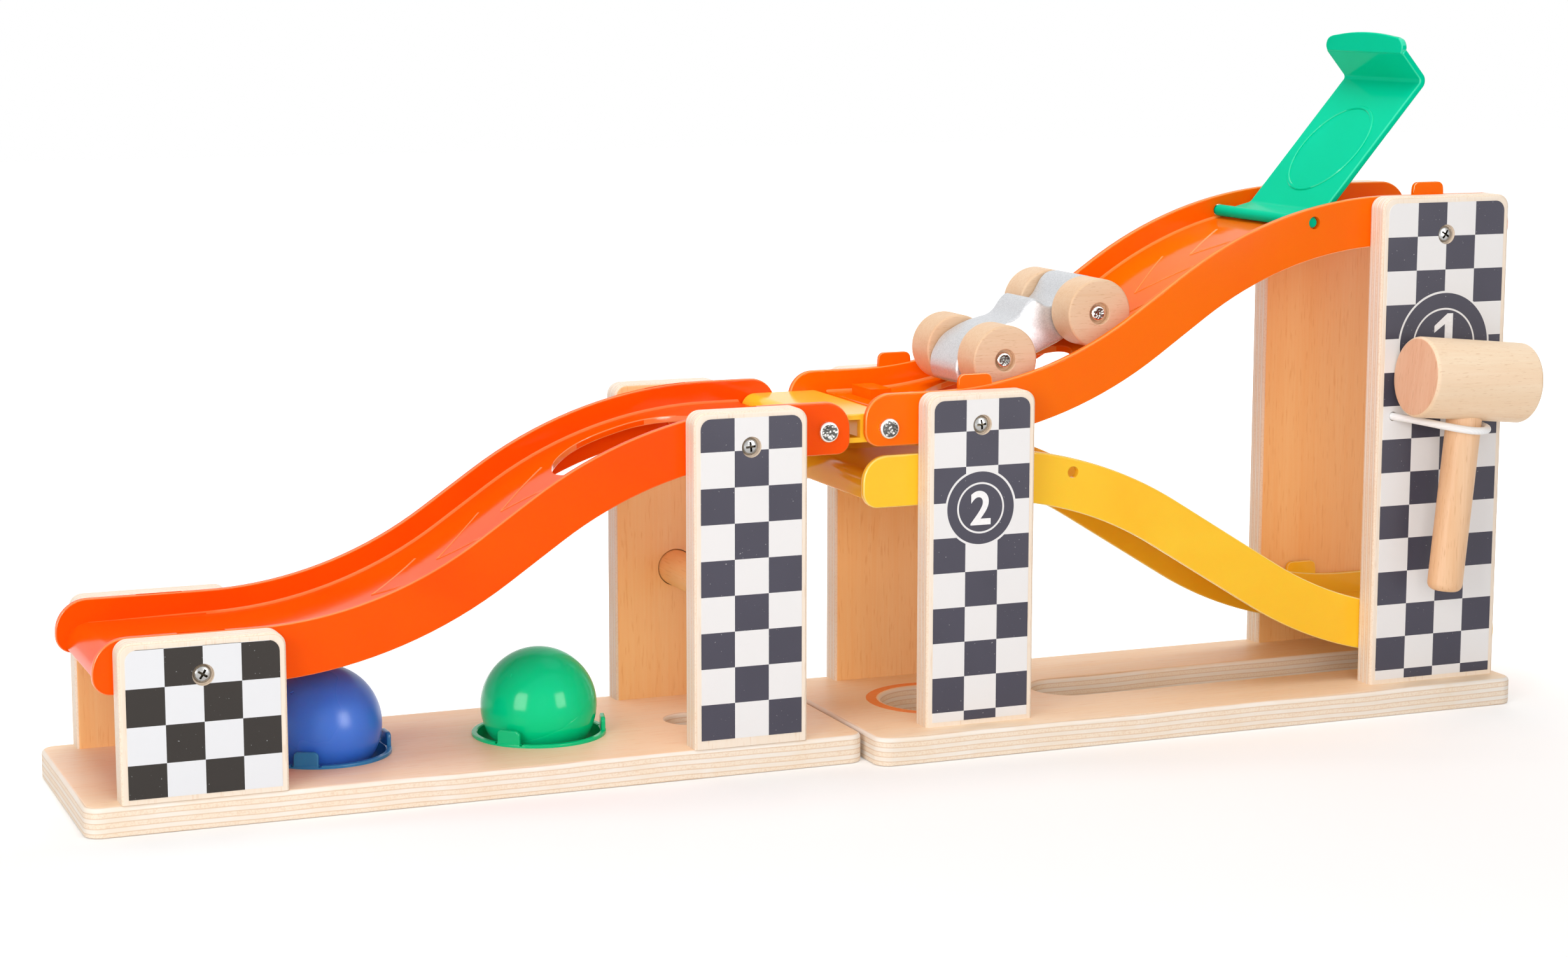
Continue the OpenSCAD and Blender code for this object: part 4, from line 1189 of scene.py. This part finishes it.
def seat_ring(node, x, first):
    """A ring in its hole at x; first is the angle of the first grip."""
    centre = at(x, 0, 0)
    outline = [(0.6, 23.2), (0.6, 24.3), (11, 24.3), (11, 25.4)] + rounded(11.8, 25.0, 0.4, 0, 90, 3) + \
        [(12.2, 23.6), (11.8, 23.2), (0.6, 23.2)]
    piece = turned(node + "_moulding", centre, (0, 0, 1), outline, 128)
    grip = grip_block()
    slits = [small_block("slit", (22.5, y, 11.6), (28, y + 1, 20)) for y in (-5.7, 4.7)]
    moves = [Matrix.Translation(centre) @ Matrix.Rotation(math.radians(first + turn), 4, "Z")
        for turn in (0, 120, 240)]
    fuse(piece, *[copy_of(grip, m) for m in moves])
    drill(piece, *[copy_of(slit, m) for m in moves for slit in slits])
    for used in (grip, *slits):
        bpy.data.objects.remove(used)
    return piece


for colour, first, skin in (("blue", 122, ring_blue_skin), ("green", 105, ring_green_skin)):
    ring = seat_ring("ring_" + colour, BALL_X[colour], first)
    complete(ring, "left_frame", colour + "_plastic", ["ring_" + colour], skin)
    print(ring.name, "of", len(ring.data.polygons), "faces")

# %% [markdown]
# The flap is a bent plate on a rod: a foot on the rod, a long slope, a leg that turns back and an
# upright lip along its top. The plate starts as the first stretch of the bent line, drawn across its
# width; each next stretch is extruded from the last edge, the bends are rounded and Solidify gives
# the thickness.

# %% Flap plate
FLAP_LINE = [(FLAP_X, FLAP_Z), (207.47, 200.74), (252.74, 252.82), (242.61, 264.68)]
FLAP_HALF = 28.5


def bent_sheet(name, line, half_width, radii):
    """A sheet along a line of (x, z) points, with a radius for each bend."""
    points = [at(x, 0, z) for x, z in line]
    (x0, z0), (x1, z1) = line[:2]
    piece = sheet(name, (points[0] + points[1]) / 2, (math.hypot(x1 - x0, z1 - z0), 2 * half_width),
        (0, -math.atan2(z1 - z0, x1 - x0), 0))
    on_line = lambda e, spot: runs(e, 1) and (e.verts[0].co.xz - spot.xz).length < 1e-5
    pick(piece, "EDGE", lambda e: on_line(e, points[1]))
    for (xa, za), (xb, zb) in zip(line[1:], line[2:]):
        extrude(*(Vector((xb - xa, 0, zb - za)) * MM))
    for spot, radius in zip(points[1:-1], radii):
        pick(piece, "EDGE", lambda e: on_line(e, spot))
        soften(radius, 6)
    return piece


flap = bent_sheet("flap_moulding", FLAP_LINE, FLAP_HALF, (1.3, 2.4))
modify(flap, "SOLIDIFY", thickness=2.5 * MM, offset=0, use_even_offset=True)
pick(flap, "EDGE", lambda e: sharp(e, 60))
soften(0.7, 3)
print("flap plate of", len(flap.data.polygons), "faces")

# %% [markdown]
# The lip is higher in the middle than at its ends and has round corners. Such an outline is easiest
# as a flat shape: two small arcs for the corners, one large arc for the crown.

# %% Flap lip
def arc(x, z, radius, first, last, steps):
    """Points of an arc from one angle to another, in radians."""
    angles = [first + (last - first) * i / steps for i in range(steps + 1)]
    return [(x + radius * math.cos(a), z + radius * math.sin(a)) for a in angles]


def crown_outline(height, half, big, corner):
    """Points of the lip's outline, from one foot over the crown to the other."""
    rise = height - big + math.sqrt((big - corner) ** 2 - (half - corner) ** 2)
    lean = math.atan2(rise - height + big, half - corner)
    right = arc(half - corner, rise, corner, 0, lean, 3)
    crown = arc(0, height - big, big, lean, math.pi - lean, 8)[1:-1]
    left = [(-x, z) for x, z in reversed(right)]
    return [(half - 1, -1)] + right + crown + left + [(1 - half, -1)]


crown = crown_outline(7.2, FLAP_HALF, 156, 4)
lip_foot = at(FLAP_LINE[3][0], 0, FLAP_LINE[3][1])
lip = put(as_mesh(flat_shape("lip", crown, 1.25, 0.6, (0, len(crown) - 1))), "lip",
    Matrix.Translation(lip_foot) @ Matrix.Rotation(math.pi / 2, 4, "Z") @ UPRIGHT)
heal(lip)
print("lip of", len(lip.data.polygons), "faces")

# %% [markdown]
# The rod below the foot, its thin pins in the track's walls and a plain raised ring on the slope are
# turned. They and the lip are fused to the plate.

# %% Flap rod and ring
rod_half = [(35.2, 2.4), (35.5, 2.1), (35.5, 2), (37.3, 2), (37.6, 1.7), (37.6, 0)]
rod = turned("rod", at(FLAP_X, 0, FLAP_Z), (0, 1, 0), [(-a, r) for a, r in reversed(rod_half)] + rod_half, 32)
slope_start, slope_end = (at(x, 0, z) for x, z in FLAP_LINE[1:3])
slope_way = (slope_end - slope_start).normalized()
ring = turned("ring", slope_start + slope_way * 31.05 * MM, (-slope_way.z, 0, slope_way.x),
    [(0.8, 22.2), (1.5, 22.2), (1.8, 21.9), (1.8, 21.0), (1.5, 20.7), (0.8, 20.7), (0.8, 22.2)], 96)
fuse(flap, rod, ring, lip)
complete(flap, "flap", "mint_plastic", ["flap"], mint, mint_rim_painted_highlight)
# The flap's rim faces get the paler mint, a painted highlight.
paint(flap, 1, on_rim)
flap_top = max(v.co.z for v in flap.data.vertices)
print("flap of", len(flap.data.polygons), "faces, top at", round(flap_top, 4), "m")

# %% [markdown]
# The frame screws have domed heads with a cross slot. One is turned and its cross is cut by two
# blocks; copies with their own meshes are placed in the recesses, each turned by its own amount, as
# a hand leaves them. The slots are painted dark, as painted shade in the recess. The same screw holds
# the posts from below.

# %% Screws
screw = turned("screw", (0, 0, 0), (0, 0, 1), [(-14, 0), (-12.5, 1.6), (0, 1.6), (0, 3.3), (0.7, 3.3),
    (1.2, 3.1), (1.6, 2.5), (1.85, 1.6), (1.95, 0.7), (1.97, 0)], 40)
cross = small_block("cross", (-1.9, -0.42, 0.75), (1.9, 0.42, 2.5))
drill(screw, fuse(cross, small_block("arm", (-0.42, -1.9, 0.75), (0.42, 1.9, 2.5))))
for material in (screw_nickel, screw_slot_painted_shade):
    screw.data.materials.append(material)
# Painted shade: the faces inside the cross get the dark finish.
paint(screw, 1, lambda f: f.center.z > 0.7 * MM and f.center.xy.length < 2 * MM
    and (f.normal.z < 0.5 or f.center.z < 0.8 * MM))


def screw_copy(spot, way, twist):
    """A copy of the screw with its head's base at a point, facing along a way."""
    turn = Vector(way).to_track_quat("Z", "Y").to_matrix().to_4x4() @ Matrix.Rotation(twist, 4, "Z")
    return copy_of(screw, Matrix.Translation(spot) @ turn)


for side, kinds in (("right", ("post2", "tower")), ("left", ("tall", "short"))):
    spots = [SCREWS[kind] for kind in kinds]
    heads = [screw_copy(at(x, s * SCREW_Y, z), (0, s, 0), 0.5 + 0.9 * i + 0.4 * s)
        for i, (x, z) in enumerate(spots) for s in (-1, 1)]
    feet = [screw_copy(at(x + s * FOOT[abs(x)], y, 3), (0, 0, -1), 0.3 * s + y)
        for x, z in spots for s in (-1, 1) for y in (-FOOT_Y, FOOT_Y)]
    for group, name in ((heads, "screws_"), (feet, "foot_screws_")):
        piece = join(group)
        piece.name = piece.data.name = name + side + "_steel"
        complete(piece, side + "_frame", "nickel", [name + side])
        print(piece.name, "has", len(piece.data.polygons), "faces")
bpy.data.objects.remove(screw)

# %% [markdown]
# The front posts carry printed paper with a checker of dark and pale squares. The paper is flat, so
# the CAD plates stay and only their finish is made: a checker on Object coordinates, set to the first
# corner of the print. Two posts also have a dark disc with pale rings, drawn by distance.

# %% Label print
SQUARE = 13.5 * MM
DISCS = {"post2": (46.5, 94.9), "tower": (251.8, 148.6)}


def checker(name, corner, dark, pale, disc=None):
    """Squares from a corner (x, z); disc is a centre (x, z), radius and ring radius."""
    material, r = finish(name)
    origin = at(corner[0], 0, corner[1])
    spot = r.place((1 / SQUARE, 0, 1 / SQUARE), (-origin.x / SQUARE, 0.5, -origin.z / SQUARE))
    ink = r.add("TexChecker", {"Vector": spot, "Color1": (1, 1, 1), "Color2": (0, 0, 0),
        "Scale": 1.0}).outputs["Fac"]
    if disc:
        (x, z), radius, ring = disc
        far = r.far(at(x, 0, z), (1, 0, 1))
        line = lambda size, half: r.sums("LESS_THAN",
            r.sums("ABSOLUTE", r.sums("SUBTRACT", far, size * MM)), half * MM)
        ink = r.sums("MAXIMUM", ink, r.sums("LESS_THAN", far, radius * MM))
        lines = r.sums("MAXIMUM", line(radius, 0.42), line(ring, 0.36))
        ink = r.sums("MULTIPLY", ink, r.sums("SUBTRACT", 1.0, lines))
    dust, tone = r.noise(1100, 1), r.noise(35, 2)
    ink = r.sums("MULTIPLY", ink, r.spread(dust, 0.74, 0.8, 1, 0.55))
    dark_ink = r.mix(r.spread(tone, 0.3, 0.7), dark, [c * 0.88 for c in dark])
    paper = r.mix(r.spread(dust, 0.2, 0.3, 0.25, 0), pale, (0.72, 0.70, 0.68))
    r.dress(Base_Color=r.mix(ink, paper, dark_ink), Roughness=r.spread(tone, 0.3, 0.7, 0.36, 0.46),
        Specular_IOR_Level=0.2)
    r.bumps(dust, 0.12, 0.06)
    return material


SLATE, PAPER = (0.068, 0.064, 0.09), (0.83, 0.81, 0.805)
BLACK, COLD = (0.04, 0.034, 0.03), (0.77, 0.775, 0.795)
for kind, corner, dark, pale, disc in (("tall", (-80.75, 122.3), SLATE, PAPER, None),
        ("post2", (13.25, 124.5), SLATE, PAPER, (DISCS["post2"], 14.4, 9.5)),
        ("short", (-278.5, 51.9), BLACK, COLD, None),
        ("tower", (224.5, 192.1), SLATE, PAPER, (DISCS["tower"], 21, 14.2))):
    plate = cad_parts[kind + "_label"].data
    plate.materials.clear()
    plate.materials.append(checker(kind + "_label_print", corner, dark, pale, disc))
    print(kind, "label printed with", plate.materials[0].name)

# %% [markdown]
# A plain number stands in each disc: 1 on the tower and 2 on the other post. The 2 is text. The
# font's 1 is a bare bar, so that one is drawn as an outline with a flag. Both are made a mesh and
# turned upright, as thin as ink.

# %% Numbers
ONE = [(0.3, -12.2), (4, -12.2), (4, 12.4), (1.4, 12.4), (-4.6, 7.6), (-4.6, 4.8), (0.3, 8.2)]
INK = 0.02


def text_figure(figure, height):
    alone()
    bpy.ops.object.text_add(location=(0, 0, 0))
    text = bpy.context.object
    text.data.body = figure
    text.data.size = height * MM
    text.data.offset = 0.02 * height * MM
    text.data.extrude = INK * MM
    return text


def number(name, figure, x, z):
    """Makes a flat figure a mesh and lays it on the print, centred at (x, z)."""
    piece = as_mesh(figure)
    corners = [Vector(c) for c in piece.bound_box]
    middle = Matrix.Translation(-(corners[0] + corners[6]) / 2)
    put(piece, name, Matrix.Translation(at(x, -49.22, z)) @ UPRIGHT @ middle)
    merge(piece)
    return piece


white_ink, r = finish("number_white_print")
tone = r.noise(900, 2)
r.dress(Base_Color=r.mix(r.spread(tone, 0.35, 0.7), (0.90, 0.88, 0.88), (0.84, 0.82, 0.82)),
    Roughness=r.spread(tone, 0.3, 0.7, 0.36, 0.46))
one = flat_shape("one", ONE, INK, 0, range(len(ONE)))
for name, figure, x, z in (("tower_number", one, TOWER_X, DISCS["tower"][1]),
        ("post2_number", text_figure("2", 18), *DISCS["post2"])):
    piece = complete(number(name, figure, x, z), "right_frame", "label", [], white_ink)
    print(name, "of", len(piece.data.polygons), "faces")

# %% [markdown]
# The stage is a pale floor and a white room. Both look pure white to the camera and to reflections,
# but they light the toy at a plain level, so the colours come out as they were written. The floor
# still darkens where the toy keeps light from it, which gives the soft shadow along the bases. Its
# glow, seen by the camera and in reflections, is weakest at a point in front of the toy and a little
# to the left and grows with distance from there: painted light that fills the toy's shadow behind it
# and to the right.

# %% Floor and world
def seen_rays(r):
    """1 for rays from the camera, a mirror or glass, and 0 for the light that falls on the toy."""
    path = r.add("LightPath", {}).outputs
    return r.sums("MAXIMUM", r.sums("MAXIMUM", path["Is Camera Ray"], path["Is Glossy Ray"]),
        path["Is Transmission Ray"])


alone()
bpy.ops.mesh.primitive_plane_add(size=8, location=(0, 0, 0))
floor = settle("studio_floor")
floor_with_painted_glow, r = finish("floor_with_painted_glow")
# Painted light: the glow grows away from a point in front of the toy and fills its shadow behind it and to
# the right.
spot = r.place((0.5, 1, 1), (0.1, 0.35, 0))
far = r.add("VectorMath", {0: spot}, operation="LENGTH").outputs["Value"]
r.dress(Base_Color=r.mix(r.noise(3, 2), (0.80, 0.79, 0.78), (0.82, 0.815, 0.81)), Roughness=0.9,
    Specular_IOR_Level=0.0, Emission_Color=(1, 1, 1),
    Emission_Strength=r.sums("MULTIPLY", seen_rays(r), r.spread(far, 0.3, 0.6, 0.14, 0.8)))
floor.data.materials.append(floor_with_painted_glow)
scene.world = bpy.data.worlds.new("white_room")
scene.world.use_nodes = True
r = Recipe(scene.world.node_tree)
background = r.tree.nodes["Background"].inputs
r.fill(background["Color"], (1, 1, 1))
r.fill(background["Strength"], r.spread(seen_rays(r), 0, 1, 0.42, 1.0))
print("floor and world are white")

# %% [markdown]
# Two soft boxes stand low to the left and right of the camera, as their reflections on the green ball
# show. In a white room they would light the front too much, so they only give the gloss, and a wide
# box above and weak ones at the left, in front and behind give the light that falls on the toy.

# %% Lights
def soft_box(name, spot, size, power, only):
    """A rectangular lamp that faces the toy; only says if it gives gloss or plain light."""
    way = Vector((0, 0, 0.1)) - Vector(spot)
    bpy.ops.object.light_add(type="AREA", location=spot, rotation=way.to_track_quat("-Z", "Y").to_euler())
    lamp = bpy.context.object
    lamp.name = name
    lamp.data.shape = "RECTANGLE"
    lamp.data.size, lamp.data.size_y = size
    lamp.data.energy = power
    lamp.visible_diffuse = only == "light"
    lamp.visible_glossy = only == "gloss"


alone()
soft_box("left_gloss_box", (-1.25, -0.8, 0.4), (0.6, 0.8), 20, "gloss")
soft_box("right_gloss_box", (0.6, -1.35, 0.45), (0.55, 0.75), 16, "gloss")
soft_box("left_box", (-1.2, -0.95, 0.6), (0.8, 0.8), 7.5, "light")
soft_box("front_box", (-0.4, -1.5, 0.45), (0.7, 0.7), 5.7, "light")
soft_box("top_box", (-0.1, 0, 1.6), (1.4, 1.0), 14, "light")
soft_box("back_box", (0.9, 1.2, 0.8), (1.0, 1.0), 5, "light")
print("six soft boxes")

# %% [markdown]
# At the end the scene is brought up to date.

# %% Update
bpy.context.view_layer.update()
